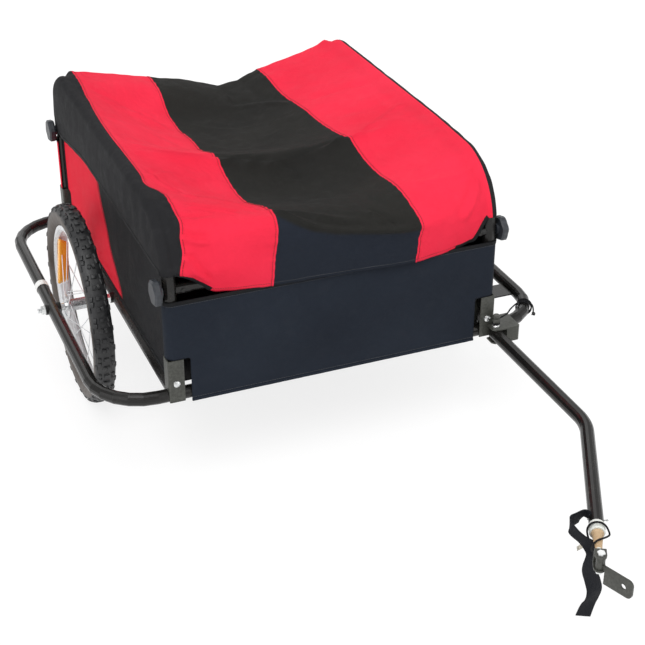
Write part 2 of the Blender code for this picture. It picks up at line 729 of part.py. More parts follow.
def cover():
    """Fitted cover: side gussets, wraps over the hoops and a sagging top."""
    outer = stations_of(HOOP_FRONT_BEND, HOOP_REAR_BEND)
    inner = stations_of(COVER_BEND, COVER_BEND)
    hoop = hoop_line()
    count = len(outer)

    def height(z):
        """Share of the way from the side hem to the hoop crest."""
        return (z - COVER_HEM) / (HOOP_TOP - COVER_HEM)

    def normal(line, j):
        """Outward direction at a station, square to its neighbours."""
        if line is outer:
            (ya, za), (yb, zb) = hoop[j + 1], hoop[j + 3]
        else:
            (ya, za), (yb, zb) = line[max(j - 1, 0)], line[min(j + 1, count - 1)]
        span = math.hypot(yb - ya, zb - za)
        return (-(zb - za) / span, (yb - ya) / span)

    lengths = [0.0]
    for a, b in zip(outer, outer[1:]):
        lengths.append(lengths[-1] + math.dist(a, b))
    tops = [0.285, 0.250, 0.205, 0.155, 0.105, 0.052]
    x = SIDE_RAIL_X

    def station(j, sx):
        """Half of one cross row, from the side hem to the hoop crest."""
        y, z = outer[j]
        ny, nz = normal(outer, j)
        foot = outer[0][0] + (outer[-1][0] - outer[0][0]) * lengths[j] / lengths[-1]
        rows = []
        for k in range(3):
            part = k / 2
            belly = 0.003 * math.sin(math.pi * part) * ease(height(z), 0.13, 0.75)
            rows.append((sx * (x + WRAP_R + belly), foot + (y - foot) * part,
                         COVER_HEM + (z - COVER_HEM) * part))
        for turn in (2 * WRAP_STEP, WRAP_STEP, 0.0, -WRAP_STEP):
            out = WRAP_R * math.cos(turn)
            rows.append((sx * (x + WRAP_R * math.sin(turn)), y + out * ny, z + out * nz))
        return rows

    def top(j, across):
        """Point of the top between the hoops."""
        (ya, za), (yb, zb) = outer[j], inner[j]
        (na, ma), (nb, mb) = normal(outer, j), normal(inner, j)
        mix = 1 - (abs(across) / TOP_HALF) ** (8 - 4 * ease(height(za), 0.0, 0.55))
        out = WRAP_R * math.cos(WRAP_STEP) * (1 - mix) + WRAP_R * mix
        y = (ya + out * na) * (1 - mix) + (yb + out * nb) * mix
        z = (za + out * ma) * (1 - mix) + (zb + out * mb) * mix
        front = ease(height(z), -0.4, 0.23) * (1 - ease(height(z), 0.55, 1.17))
        front *= 1 - ease(abs(across), 0.15, 0.30)
        if y < -0.36:
            y -= 0.009 * front
        elif y > 0.36:
            y += 0.002 * front
        return (across, y, z - sag(across, y) * ease(height(z), 0.16, 0.91))

    def flap(row, sy, part):
        """Row of an end flap below the side hem."""
        points = []
        for px, py, pz in row:
            low = hem_height(px, sy)
            lean = 0.0036 * part * (1 - ease(abs(px), 0.262, 0.30))
            points.append((px, py + sy * lean, pz + (low - pz) * part))
        return points

    grid = []
    for j in range(count):
        right = station(j, -1)
        left = station(j, 1)
        middle = [top(j, across) for across in [-t for t in tops] + [0.0] + list(reversed(tops))]
        grid.append(right + middle + list(reversed(left)))
    grid.insert(0, flap(grid[0], -1, 0.5))
    grid.insert(0, flap(grid[1], -1, 1.0))
    grid.append(flap(grid[-1], 1, 0.5))
    grid.append(flap(grid[-2], 1, 1.0))
    fabric("cover", grid, "red_cloth")


def soft_goods():
    end_panel("front", -1, "navy_cloth")
    end_panel("rear", 1, "red_cloth")
    for side, sx in SIDES:
        side_panel(side, sx)
    cover()


# Wheels

def tyre(side, sx):
    """Tyre with alternating lugs on the shoulders and the crown."""
    centre = Vector((sx * WHEEL_X, 0, AXLE_Z))
    foot = RIM_BED_R + GAP
    wall = WHEEL_R - foot
    half = [(0.0100, foot, 0), (0.0136, foot + 0.125 * wall, 0), (0.0198, foot + 0.34 * wall, 0),
            (TYRE_HALF, foot + 0.545 * wall, 0), (0.0202, foot + 0.76 * wall, 1),
            (0.0120, WHEEL_R - 0.003, -1)]
    rings = []
    steps = 60
    for k in range(steps):
        turn = 2 * math.pi * k / steps
        raised = 1 if (k + 2) % 4 < 2 else -1
        ring = []
        section = [(-a, r, lug) for a, r, lug in half] + [(0.0, WHEEL_R, 1)]
        section += [(a, r, lug) for a, r, lug in reversed(half)]
        for across, radius, lug in section:
            if lug and lug != raised:
                radius -= TREAD_DEPTH
            ring.append(centre + Vector((across, radius * math.sin(turn), radius * math.cos(turn))))
        rings.append(ring)
    finish(loft("tyre_" + side, rings, "tyre_rubber", closed=True), pivot=centre, angle=50)


def spoked_rim(side, sx):
    """Box rim with tangent spokes, laced from alternate sides of two flanges."""
    centre = Vector((sx * WHEEL_X, 0, AXLE_Z))
    wall = RIM_HALF - 0.0015
    profile = [(-RIM_HALF, RIM_LIP_R), (-RIM_HALF, RIM_EDGE_R), (-0.008, RIM_INNER_R),
               (0.008, RIM_INNER_R), (RIM_HALF, RIM_EDGE_R), (RIM_HALF, RIM_LIP_R),
               (wall, RIM_LIP_R), (wall, RIM_BED_R), (-wall, RIM_BED_R), (-wall, RIM_LIP_R)]
    rim = turned("spoked_rim_" + side, centre, X_AXIS, profile, "rim_white", 40)
    verts = []
    faces = []
    for i in range(SPOKES):
        flange = 1 if i % 2 else -1
        lean = 1 if (i // 2) % 2 else -1
        offset = SPOKE_OUT if (i // 2) % 2 else SPOKE_IN
        at_rim = 2 * math.pi * i / SPOKES
        at_hub = at_rim + lean * SPOKE_TANGENT
        start = Vector((flange * (FLANGE_X + offset),
                        SPOKE_HUB_R * math.cos(at_hub), SPOKE_HUB_R * math.sin(at_hub)))
        end = Vector((flange * 0.002, NIPPLE_R * math.cos(at_rim), NIPPLE_R * math.sin(at_rim)))
        line = (end - start).normalized()
        across = line.orthogonal().normalized()
        up = line.cross(across)
        base = len(verts)
        for point in (start, end):
            for k in range(5):
                turn = 2 * math.pi / 5 * k
                verts.append(centre + point + (across * math.cos(turn) + up * math.sin(turn)) * SPOKE_R)
        for k in range(5):
            faces.append((base + k, base + (k + 1) % 5, base + 5 + (k + 1) % 5, base + 5 + k))
        faces.append(tuple(base + k for k in reversed(range(5))))
        faces.append(tuple(base + 5 + k for k in range(5)))
    join(rim, make("spokes", verts, faces, "rim_white"))
    finish(rim, pivot=centre)


def hub(side, sx):
    centre = Vector((sx * WHEEL_X, 0, AXLE_Z))
    bore = AXLE_R + GAP
    half = [(HUB_HALF, bore), (HUB_HALF, 0.0095), (FLANGE_X + PLATE / 2, 0.0110),
            (FLANGE_X + PLATE / 2, FLANGE_R), (FLANGE_X - PLATE / 2, FLANGE_R),
            (FLANGE_X - PLATE / 2, 0.0145), (FLANGE_X - 0.005, HUB_BARREL_R)]
    profile = half + [(-a, r) for a, r in reversed(half)]
    finish(turned("hub_" + side, centre, X_AXIS, profile, "hub_steel", 20), pivot=centre)


def spoke_reflector(side, sx):
    """Oblong lens lying on the outer spokes."""
    centre = Vector((sx * WHEEL_X, 0, AXLE_Z))
    slope = (FLANGE_X + SPOKE_OUT - 0.002) / (NIPPLE_R - SPOKE_HUB_R)
    spots = [(NIPPLE_R * a, NIPPLE_R * b) for a, b in ((0.477, 0.086), (0.715, 0.636))]

    def over(radius):
        return FLANGE_X + SPOKE_OUT - slope * (radius - SPOKE_HUB_R) + SPOKE_R + 0.0006

    ends = [Vector((sx * over(math.hypot(a, b)), a, b)) for a, b in spots]
    along = (ends[1] - ends[0]).normalized()
    across = X_AXIS.cross(along).normalized()
    out = along.cross(across)
    if out.x * sx < 0:
        out = -out
    middle = centre + (ends[0] + ends[1]) / 2
    length = (ends[1] - ends[0]).length
    rings = []
    for level, inset in ((0.0006, 0.0006), (0.0012, 0.0), (0.0045, 0.0), (0.0062, 0.0022)):
        shape = rounded_outline(length - 2 * inset, 0.022 - 2 * inset, 0.008 - inset, 3)
        rings.append([middle + along * a + across * b + out * level for a, b in shape])
    finish(loft("spoke_reflector_" + side, rings, "amber_lens"), pivot=centre)


def axle(side, sx):
    """Fixed axle with its head, cone shoulders and two nuts."""
    rail_in = SIDE_RAIL_X - BOSS_LENGTH / 2
    rail_out = SIDE_RAIL_X + BOSS_LENGTH / 2
    guard_in = GUARD_X - BOSS_LENGTH / 2
    guard_out = GUARD_X + BOSS_LENGTH / 2
    lock_out = rail_out + GAP + NUT_WIDTH
    collar = 0.0078
    profile = [(rail_in - 0.008, 0.006), (rail_in - 0.0065, 0.0078), (rail_in - GAP, 0.0078),
               (rail_in - GAP, AXLE_R), (lock_out + GAP, AXLE_R), (lock_out + GAP, collar),
               (WHEEL_X - HUB_HALF - GAP, collar), (WHEEL_X - HUB_HALF - GAP, AXLE_R),
               (WHEEL_X + HUB_HALF + GAP, AXLE_R), (WHEEL_X + HUB_HALF + GAP, collar),
               (guard_in - GAP, collar), (guard_in - GAP, AXLE_R),
               (AXLE_OUT - 0.001, AXLE_R), (AXLE_OUT, AXLE_R - 0.001)]
    finish(solid_turned("axle_" + side, (0, 0, AXLE_Z), (sx, 0, 0), profile, "zinc", 12))
    for name, start in (("lock_nut_", rail_out + GAP), ("axle_nut_", guard_out + GAP)):
        outline = [(a, AXLE_Z + b) for a, b in hexagon(NUT_FLATS, math.pi / 6)]
        lows = sorted((sx * start, sx * (start + NUT_WIDTH)))
        nut = prism(name + side, outline, lows[0], lows[1], "zinc", flat="x")
        cut(nut, drill((lows[0] - 0.01, 0, AXLE_Z), (lows[1] + 0.01, 0, AXLE_Z), AXLE_R))
        finish(nut)


def wheels():
    for side, sx in SIDES:
        tyre(side, sx)
        spoked_rim(side, sx)
        hub(side, sx)
        spoke_reflector(side, sx)
        axle(side, sx)


# Towing gear

PIVOT = Vector((ARM_X, PIVOT_Y, AXLE_Z))
ARM_LINE = Vector((-math.sin(ARM_ANGLE), -math.cos(ARM_ANGLE), 0))
ARM_END = ARM_BEND + Vector((0, 0, AXLE_Z)) + ARM_LINE * ARM_REACH
HITCH_LINE = Vector((-math.sin(HITCH_YAW), -math.cos(HITCH_YAW), 0))
HITCH = ARM_END + ARM_LINE * HITCH_S


def tow_bracket():
    """Channel welded round the guard leg, open forward where the arm swings."""
    x0, x1 = BRACKET_X
    y0, y1 = BRACKET_Y
    clear_x = TUBE_FACE + PLATE + 3 * GAP + 0.0003
    clear_y = -END_RAIL_Y - SADDLE_R - PLATE - 2 * GAP
    outline = [(x0, y0 + 0.006), (x0 + 0.006, y0), (x1 - 0.003, y0), (x1, y0 + 0.003), (x1, y1),
               (clear_x, y1), (clear_x, clear_y), (x0, clear_y)]
    plate = prism("tow_bracket", outline, RAIL_FOOT - THICK_PLATE, RAIL_TOP + THICK_PLATE,
                  "bracket_black")
    room = box("room", (x0 - 0.01, y0 + THICK_PLATE, RAIL_FOOT), (x1 + 0.01, y1 + 0.01, RAIL_TOP))
    mouth = box("mouth", (x0 - 0.01, y0 - 0.01, RAIL_FOOT), (WEB_X, y1, RAIL_TOP))
    finish(cut(plate, room, mouth, drill(PIVOT - Z_AXIS * 0.05, PIVOT + Z_AXIS * 0.05, PIN_R)))


def pivot_bush():
    """Zinc bush on the bracket that guides the pull pin."""
    foot = RAIL_TOP + THICK_PLATE + GAP - AXLE_Z
    bore = (PIN_R + GAP) / math.cos(math.pi / 16)
    profile = [(foot, bore), (foot, BUSH_R), (foot + BUSH_HEIGHT - 0.001, BUSH_R),
               (foot + BUSH_HEIGHT, BUSH_R - 0.001), (foot + BUSH_HEIGHT, bore)]
    finish(turned("pivot_bush", PIVOT, Z_AXIS, profile, "zinc", 16))


def pull_pin():
    """Pull-out pivot pin of the tow arm with a waisted grip."""
    foot = RAIL_FOOT - THICK_PLATE - 0.006 - AXLE_Z
    top = RAIL_TOP + THICK_PLATE + BUSH_HEIGHT + 0.0055 - AXLE_Z
    profile = [(foot, PIN_R - 0.0015), (foot + 0.002, PIN_R), (top, PIN_R),
               (top + 0.001, 0.0068), (top + 0.005, 0.0075), (top + 0.008, 0.0055),
               (top + 0.012, 0.0075), (top + 0.016, 0.0060)]
    finish(solid_turned("pull_pin", PIVOT, Z_AXIS, profile, "bracket_black", 12), pivot=PIVOT)


def tow_arm():
    """Bent tube with a rounded heel and a bore for the pull pin."""
    bend = ARM_BEND + Vector((0, 0, AXLE_Z))
    start = Vector((PIVOT.x, PIVOT.y + TUBE_R + 0.004, AXLE_Z))
    path = bent([start, bend, ARM_END], [ARM_BEND_R * 2], 8)
    arm = tube("tow_arm", path, TUBE_R, "frame_black", 16)
    heel = solid_turned("heel", PIVOT - Z_AXIS * 0.03, Z_AXIS, [(0, TUBE_R), (0.06, TUBE_R)],
                        "frame_black", 20)
    block = box("block", PIVOT - Vector((0.03, 0, 0.03)), PIVOT + Vector((0.03, 0.03, 0.03)))
    cut(block, heel)
    side = ARM_LINE.cross(Z_AXIS)
    clip_at = ARM_END - ARM_LINE * 0.014
    finish(cut(arm,
               block,
               drill(PIVOT - Z_AXIS * 0.03, PIVOT + Z_AXIS * 0.03, PIN_R),
               drill(clip_at - side * 0.03, clip_at + side * 0.03, 0.001, 8)),
           pivot=PIVOT)


def collar_clip():
    """Bent wire clip through the end of the arm."""
    side = ARM_LINE.cross(Z_AXIS)
    at = ARM_END - ARM_LINE * 0.014
    shape = [(-0.0142, 0.0, 0.0), (0.0145, 0.0, 0.0), (0.0170, 0.001, 0.0015), (0.0185, 0.004, 0.004),
             (0.0180, 0.009, 0.0065), (0.0155, 0.012, 0.008), (0.0125, 0.013, 0.010)]
    path = [at - side * a + ARM_LINE * b + Z_AXIS * c for a, b, c in shape]
    finish(tube("collar_clip", path, 0.001, "zinc", 8), pivot=PIVOT)


def coupler():
    """Collar, white rod with shoulder, rubber cone, yoke and bolt."""
    rod_r = 0.0042
    bore = rod_r + GAP
    collar = [(GAP, bore), (GAP, 0.0130), (0.002, 0.0138), (0.0105, 0.0138), (0.0124, 0.0128),
              (0.0124, bore)]
    finish(turned("coupler_collar", ARM_END, ARM_LINE, collar, "nylon_white", 18), pivot=PIVOT)
    shoulder = 0.0124 + GAP
    spine = [(0.0030, rod_r), (shoulder, rod_r), (shoulder, 0.0125), (shoulder + 0.0065, 0.0132),
             (shoulder + 0.0080, 0.0120), (shoulder + 0.0080, rod_r), (YOKE_S - GAP, rod_r)]
    finish(solid_turned("coupler_rod", ARM_END, ARM_LINE, spine, "nylon_white", 16), pivot=ARM_END)
    start = shoulder + 0.0080 + GAP
    end = 0.0600
    cone = [(start, bore), (start, 0.0115), (start + 0.004, 0.0118), (start + 0.020, 0.0095),
            (end - 0.004, 0.0068), (end, 0.0062), (end, bore)]
    finish(turned("coupler_cone", ARM_END, ARM_LINE, cone, "rubber_tan", 16), pivot=ARM_END)
    yoke()


def yoke():
    """U-shaped plate with rounded cheeks above and below the hitch knuckle."""
    side = Z_AXIS.cross(ARM_LINE)
    width = 0.0095
    cheek_low = AXLE_Z - 0.0105 - GAP - THICK_PLATE
    cheek_high = AXLE_Z + 0.0105 + GAP + THICK_PLATE
    plan = [(YOKE_S, -width), (HITCH_S, -width)]
    plan += [(HITCH_S + width * math.sin(t), -width * math.cos(t))
             for t in [math.pi * k / 8 for k in range(1, 8)]]
    plan += [(HITCH_S, width), (YOKE_S, width)]
    flat = [ARM_END + ARM_LINE * a + side * b for a, b in plan]
    frame = prism("coupler_yoke", [(p.x, p.y) for p in flat], cheek_low, cheek_high, "bracket_black")
    room = [ARM_END + ARM_LINE * a + side * b
            for a, b in ((YOKE_S + THICK_PLATE, -0.03), (YOKE_S + 0.04, -0.03),
                         (YOKE_S + 0.04, 0.03), (YOKE_S + THICK_PLATE, 0.03))]
    cut(frame,
        prism("room", [(p.x, p.y) for p in room], AXLE_Z - 0.0105 - GAP, AXLE_Z + 0.0105 + GAP, "zinc"),
        drill(HITCH - Z_AXIS * 0.05, HITCH + Z_AXIS * 0.05, 0.003))
    finish(frame, pivot=ARM_END)
    bolt = rod("yoke_bolt", (HITCH.x, HITCH.y, cheek_low - 0.0075),
               (HITCH.x, HITCH.y, cheek_high + 0.001), 0.003, "zinc")
    heads = []
    for low, high in ((cheek_high + GAP, cheek_high + 0.0055), (cheek_low - 0.0055, cheek_low - GAP)):
        outline = [(HITCH.x + a, HITCH.y + b) for a, b in hexagon(0.011, 0.3)]
        heads.append(prism("head", outline, low, high, "zinc"))
    finish(join(bolt, *heads), pivot=ARM_END)


def hitch_plate():
    """Flat plate with rounded nose and axle hole, rolled round the bolt at its heel."""
    knuckle = turned("hitch_plate", HITCH - Z_AXIS * 0.0105, Z_AXIS,
                     [(0, 0.003 + GAP), (0, 0.0068), (0.021, 0.0068), (0.021, 0.003 + GAP)],
                     "bracket_black", 20)
    low, high = HITCH_Z
    start = 0.0108
    neck_low = AXLE_Z - 0.0105
    nose = 0.009
    outline = [(0.0050, neck_low), (start, neck_low), (start, low)]
    for k in range(5):
        turn = -math.pi / 2 + math.pi / 2 * k / 4
        outline.append((HITCH_LENGTH - nose + nose * math.cos(turn), low + nose + nose * math.sin(turn)))
    for k in range(5):
        turn = math.pi / 2 * k / 4
        outline.append((HITCH_LENGTH - nose + nose * math.cos(turn), high - nose + nose * math.sin(turn)))
    outline += [(start, high), (0.0050, high)]
    across = Z_AXIS.cross(HITCH_LINE)
    rings = []
    for level in (-HITCH_PLATE / 2, HITCH_PLATE / 2):
        rings.append([Vector((HITCH.x, HITCH.y, b)) + HITCH_LINE * a + across * level
                      for a, b in outline])
    join(knuckle, loft("plate", rings, "bracket_black"))
    hole = HITCH + HITCH_LINE * (HITCH_LENGTH - 0.017)
    hole.z = (low + high) / 2
    cut(knuckle, rod("hole", hole - across * 0.02, hole + across * 0.02, HITCH_HOLE_R))
    finish(knuckle, pivot=HITCH)


def ribbon(name, stations, slot, pivot):
    """Webbing through stations of (point, width direction)."""
    rings = []
    for i, (point, across) in enumerate(stations):
        point = Vector(point)
        before = Vector(stations[max(i - 1, 0)][0])
        after = Vector(stations[min(i + 1, len(stations) - 1)][0])
        line = (after - before).normalized()
        across = Vector(across)
        across = (across - line * across.dot(line)).normalized()
        out = line.cross(across)
        ring = []
        for a, b in ((-1, -1), (1, -1), (1, 1), (-1, 1)):
            ring.append(point + across * (a * STRAP_WIDTH / 2) + out * (b * STRAP_THICK / 2))
        rings.append(ring)
    finish(loft(name, rings, slot), pivot=pivot)


def safety_strap():
    """Strap from behind the arm: a loop out to its side, a cross before the coupler and a tail."""
    side = ARM_LINE.cross(Z_AXIS)
    route = [((-0.020, 0.0160, 0.0000), (1.0, 0.0, 0.0)),
             ((-0.016, 0.0190, 0.0090), (1.0, 0.1, 0.3)),
             ((-0.010, 0.0240, 0.0120), (0.9, 0.2, 0.8)),
             ((0.002, 0.0340, 0.0125), (0.6, 0.2, 1.0)),
             ((0.010, 0.0450, 0.0125), (0.4, 0.0, 1.0)),
             ((0.018, 0.0530, 0.0115), (0.3, -0.2, 1.0)),
             ((0.026, 0.0545, 0.0085), (0.2, -0.3, 1.0)),
             ((0.034, 0.0480, 0.0045), (0.1, 0.1, 1.0)),
             ((0.040, 0.0370, -0.0030), (0.1, 0.3, 1.0)),
             ((0.043, 0.0270, -0.0130), (0.3, 0.7, 0.8)),
             ((0.042, 0.0210, -0.0260), (0.6, 0.8, 0.4)),
             ((0.036, 0.0160, -0.0450), (0.7, 0.7, 0.1)),
             ((0.028, 0.0130, -0.0680), (0.4, 0.9, 0.0)),
             ((0.020, 0.0090, -0.0930), (0.2, 1.0, 0.0)),
             ((0.014, -0.0010, -0.1200), (0.1, 1.0, 0.1)),
             ((0.010, -0.0080, -0.1430), (0.4, 0.9, 0.1)),
             ((0.008, -0.0070, -0.1630), (0.6, 0.8, 0.0)),
             ((0.010, -0.0060, -0.1810), (0.5, 0.9, 0.0))]
    stations = []
    for (along, out, up), (a, b, c) in route:
        stations.append((ARM_END + ARM_LINE * along + side * out + Z_AXIS * up,
                         ARM_LINE * a + side * b + Z_AXIS * c))
    ribbon("safety_strap", stations, "webbing_black", PIVOT)


def lanyard():
    """Cord from a loop under the pin head to two turns round the guard bend."""
    middle = Vector((GUARD_X - GUARD_BEND, -END_RAIL_Y + GUARD_BEND, AXLE_Z))
    hug = (TUBE_R + CORD_R + 2 * GAP) / math.cos(math.pi / 12)
    path = []
    loop_z = RAIL_TOP + THICK_PLATE + BUSH_HEIGHT + CORD_R + 0.0010
    reach = PIN_R + CORD_R + 0.0008
    for k in range(11):
        swing = math.radians(450 - 32 * k)
        path.append(Vector((PIVOT.x + reach * math.cos(swing), PIVOT.y + reach * math.sin(swing),
                            loop_z + 0.0001 * k)))
    path += [Vector((0.3340, -0.4135, 0.0255)),
             Vector((0.3560, -0.4080, 0.0290)), Vector((0.3720, -0.3960, 0.0315)),
             Vector((0.3900, -0.3820, 0.0300)), Vector((0.4040, -0.3680, 0.0240))]
    for k in range(28):
        swing = math.radians(150 - 30 * k)
        turn = math.radians(-34) + 0.0005 * (14 - k) / GUARD_BEND
        out = Vector((math.cos(turn), math.sin(turn), 0))
        path.append(middle + out * (GUARD_BEND + hug * math.cos(swing)) + Z_AXIS * (hug * math.sin(swing)))
    last = path[-1]
    path += [last + out * 0.004 + Z_AXIS * 0.0015, last + out * 0.009 - Z_AXIS * 0.002,
             last + out * 0.012 - Z_AXIS * 0.010, last + out * 0.013 - Z_AXIS * 0.022]
    finish(tube("lanyard", path, CORD_R, "cord_black", 6), angle=80)


def towing_gear():
    tow_bracket()
    pivot_bush()
    pull_pin()
    tow_arm()
    collar_clip()
    coupler()
    hitch_plate()
    safety_strap()
    lanyard()


def centre_on_floor():
    """Set the trailer on its wheels with its bottom centre at the origin."""
    bpy.context.view_layer.update()
    low = math.inf
    high = -math.inf
    for obj in bpy.data.objects:
        for vertex in obj.data.vertices:
            y = vertex.co.y + obj.location.y
            low = min(low, y)
            high = max(high, y)
    for obj in bpy.data.objects:
        obj.location.y -= (low + high) / 2
        obj.location.z += WHEEL_R


def build():
    for old in list(bpy.data.objects):
        bpy.data.objects.remove(old)
    base_frame()
    corners()
    upper_frame()
    soft_goods()
    wheels()
    towing_gear()
    centre_on_floor()


build()
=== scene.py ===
"""Looks of the two-wheeled cargo trailer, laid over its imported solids.

Metres, +Z up, in the frame of the solids. Shapes are laid out from the middle of
the axle line, as the solids are, and shifted to the floor frame when they are made.
"""
import math
import random

import bpy
import numpy as np
from mathutils import Matrix, Vector


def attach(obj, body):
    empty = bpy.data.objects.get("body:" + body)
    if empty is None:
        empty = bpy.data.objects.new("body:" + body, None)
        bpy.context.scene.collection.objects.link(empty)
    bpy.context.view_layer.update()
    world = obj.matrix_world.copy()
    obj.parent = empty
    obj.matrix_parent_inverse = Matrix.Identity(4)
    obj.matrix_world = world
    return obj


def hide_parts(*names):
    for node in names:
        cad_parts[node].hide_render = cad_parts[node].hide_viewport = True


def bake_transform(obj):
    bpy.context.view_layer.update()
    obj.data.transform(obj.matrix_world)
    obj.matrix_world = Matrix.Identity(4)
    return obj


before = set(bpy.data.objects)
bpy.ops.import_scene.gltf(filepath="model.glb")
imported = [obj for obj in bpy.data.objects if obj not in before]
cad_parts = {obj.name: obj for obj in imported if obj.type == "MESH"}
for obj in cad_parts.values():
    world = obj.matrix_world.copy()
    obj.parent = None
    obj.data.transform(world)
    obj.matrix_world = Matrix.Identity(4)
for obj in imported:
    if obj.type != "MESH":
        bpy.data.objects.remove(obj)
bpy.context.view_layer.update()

SHIFT = np.array((0.0, 0.36926035, 0.203))
TUBE_R = 0.0125
GAP = 0.0003
THICK_PLATE = 0.0030
CLOTH = 0.0016
SHEET_THICK = 0.0012
SIDE_X = 0.313
END_Y = 0.395
WRAP_R = TUBE_R + GAP + CLOTH / 2
TOP_HALF = SIDE_X - WRAP_R / 2
HOOP_TOP = 0.3405
HOOP_SHOULDER = 0.3315
HOOP_DROP_Y = -0.160
HOOP_DROP_BEND = 0.6
FRONT_BEND = 0.115
REAR_BEND = 0.080
COVER_HEM = 0.2445
FLAP_HEM = 0.197
FLAP_RUN = 0.0475
PANEL_TOP = 0.1945
PANEL_BOTTOM = -0.013
PANEL_SHOULDER = 0.0785
PANEL_NECK_X = 0.285
SIDE_TOP = 0.267
SIDE_NOTCH_Y = 0.355
SIDE_PANEL_X = 0.315
RAIL_TOP = TUBE_R + GAP
PIVOT = (0.3255, -0.4238)
PIN_R = 0.004
BUSH_HEIGHT = 0.005
ARM_END = np.array((0.189853, -1.016055, 0.0))
ARM_LINE = np.array((-0.469472, -0.882948, 0.0))
ARM_SIDE = np.array((-0.882948, 0.469472, 0.0))
UP = np.array((0.0, 0.0, 1.0))
WHEEL_X = 0.390
CORD_R = 0.0015
NECK_CORD_R = 0.0016
STRAP_WIDTH = 0.026
CAMERA_AT = (-0.9087, -2.18704, 1.633)
CAMERA_BACK = (-0.3281, -0.8023, 0.4988)
CAMERA_RIGHT = (0.9256, -0.3785, 0.0)
CAMERA_LENS = 81.42
FLOOR_HALF = 14.0

random.seed(5)


# Materials

class Look:
    """A material being wired up."""

    def __init__(self, name, **sockets):
        self.material = bpy.data.materials.new(name)
        self.material.use_nodes = True
        self.tree = self.material.node_tree
        self.shader = self.tree.nodes["Principled BSDF"]
        for key, value in sockets.items():
            self.shader.inputs[key.replace("_", " ")].default_value = value
        self.place = self.add("TexCoord").outputs["Object"]

    def add(self, kind, links=(), **settings):
        """A node with its inputs linked to sockets or set to values."""
        node = self.tree.nodes.new("ShaderNode" + kind)
        for key, value in settings.items():
            setattr(node, key, value)
        for key, value in dict(links).items():
            if isinstance(value, bpy.types.NodeSocket):
                self.tree.links.new(value, node.inputs[key])
            else:
                node.inputs[key].default_value = value
        return node

    def uv(self):
        return self.add("TexCoord").outputs["UV"]

    def noise(self, scale, detail=3.0, rough=0.5, warp=0.0):
        return self.add("TexNoise", {"Vector": self.place, "Scale": scale, "Detail": detail,
                                     "Roughness": rough, "Distortion": warp}).outputs["Fac"]

    def bands(self, period, direction, where, warp=0.0):
        return self.add("TexWave", {"Vector": where, "Scale": 0.31416 / period, "Distortion": warp,
                                    "Detail": 1.0}, bands_direction=direction).outputs["Fac"]

    def calc(self, operation, a, b=0.5):
        return self.add("Math", {0: a, 1: b}, operation=operation).outputs[0]

    def spread(self, value, low, high, to_low=0.0, to_high=1.0):
        return self.add("MapRange", {"Value": value, "From Min": low, "From Max": high,
                                     "To Min": to_low, "To Max": to_high}).outputs[0]

    def mix(self, share, a, b):
        def rgba(value):
            return value if isinstance(value, bpy.types.NodeSocket) else (*value, 1.0)
        return self.add("Mix", {0: share, 6: rgba(a), 7: rgba(b)}, data_type="RGBA").outputs[2]

    def bump(self, height, distance, normal=None):
        links = {"Height": height, "Distance": distance, "Strength": 1.0}
        if normal:
            links["Normal"] = normal
        return self.add("Bump", links).outputs["Normal"]

    def rubbed(self, low, high, where):
        """Worn places on the edges of a shape."""
        edge = self.spread(self.add("NewGeometry").outputs["Pointiness"], low, high)
        return self.calc("MULTIPLY", edge, where)

    def done(self, colour, roughness, normal):
        for key, value in (("Base Color", colour), ("Roughness", roughness), ("Normal", normal)):
            self.tree.links.new(value, self.shader.inputs[key])
        return self.material


def woven(name, colour, shade, dusty=0.0, painted_front_light=None):
    """Coated plain weave with faint crinkles, handling marks and dust, and where given a painted bluish tint
    for light on faces turned to the front.
    """
    look = Look(name, Specular_IOR_Level=0.12)
    uv = look.uv()
    threads = look.calc("ADD", look.bands(0.0009, "X", uv, 0.4), look.bands(0.0009, "Y", uv, 0.4))
    weave = look.calc("MULTIPLY", threads, 0.5)
    cloud = look.noise(5.0, 4.0, 0.55)
    marks = look.noise(38.0, 5.0, 0.6, 0.6)
    crinkle = look.noise(75.0, 3.0, 0.5, 0.4)
    tone = look.mix(look.spread(cloud, 0.32, 0.70), shade, colour)
    # Painted light: where the tone attribute is high, the colour turns to a bluish tint that stands for the
    # light falling on faces turned to the front.
    if painted_front_light:
        where = look.add("Attribute", attribute_name="tone").outputs["Fac"]
        tone = look.mix(where, tone, painted_front_light)
    tone = look.mix(look.spread(weave, 0.0, 0.25, 0.30, 0.0), tone, shade)
    if dusty:
        tone = look.mix(look.spread(marks, 0.52, 0.80, 0.0, dusty), tone, (0.30, 0.30, 0.31))
    normal = look.bump(marks, 0.0016, look.bump(crinkle, 0.0011))
    return look.done(tone, look.spread(marks, 0.3, 0.75, 0.66, 0.86), look.bump(weave, 0.00022, normal))


def tape_cloth(name, colour, light):
    """Binding tape and webbing: tight ribs across the run."""
    look = Look(name, Specular_IOR_Level=0.2)
    uv = look.uv()
    ribs = look.bands(0.0011, "X", uv, 0.2)
    fuzz = look.noise(160.0)
    tone = look.mix(look.calc("MULTIPLY", ribs, look.spread(fuzz, 0.2, 0.8)), colour, light)
    normal = look.bump(ribs, 0.0003, look.bump(look.bands(0.0030, "Y", uv, 0.3), 0.0002))
    return look.done(tone, look.spread(fuzz, 0.2, 0.8, 0.55, 0.8), normal)


def gloss_paint(name, colour, worn):
    """Powder coat: slight orange peel, scuffs and greyer edges."""
    look = Look(name, Coat_Weight=0.12, Coat_Roughness=0.16, Specular_IOR_Level=0.30)
    scuff = look.spread(look.noise(55.0, 8.0, 0.7, 1.2), 0.58, 0.72)
    wear = look.rubbed(0.53, 0.62, scuff)
    tone = look.mix(wear, look.mix(look.calc("MULTIPLY", scuff, 0.25), colour, worn), worn)
    rough = look.spread(look.noise(9.0, 5.0, 0.6), 0.3, 0.7, 0.20, 0.34)
    rough = look.calc("ADD", rough, look.calc("MULTIPLY", scuff, 0.10))
    return look.done(tone, rough, look.bump(look.noise(420.0, 2.0), 0.00012))


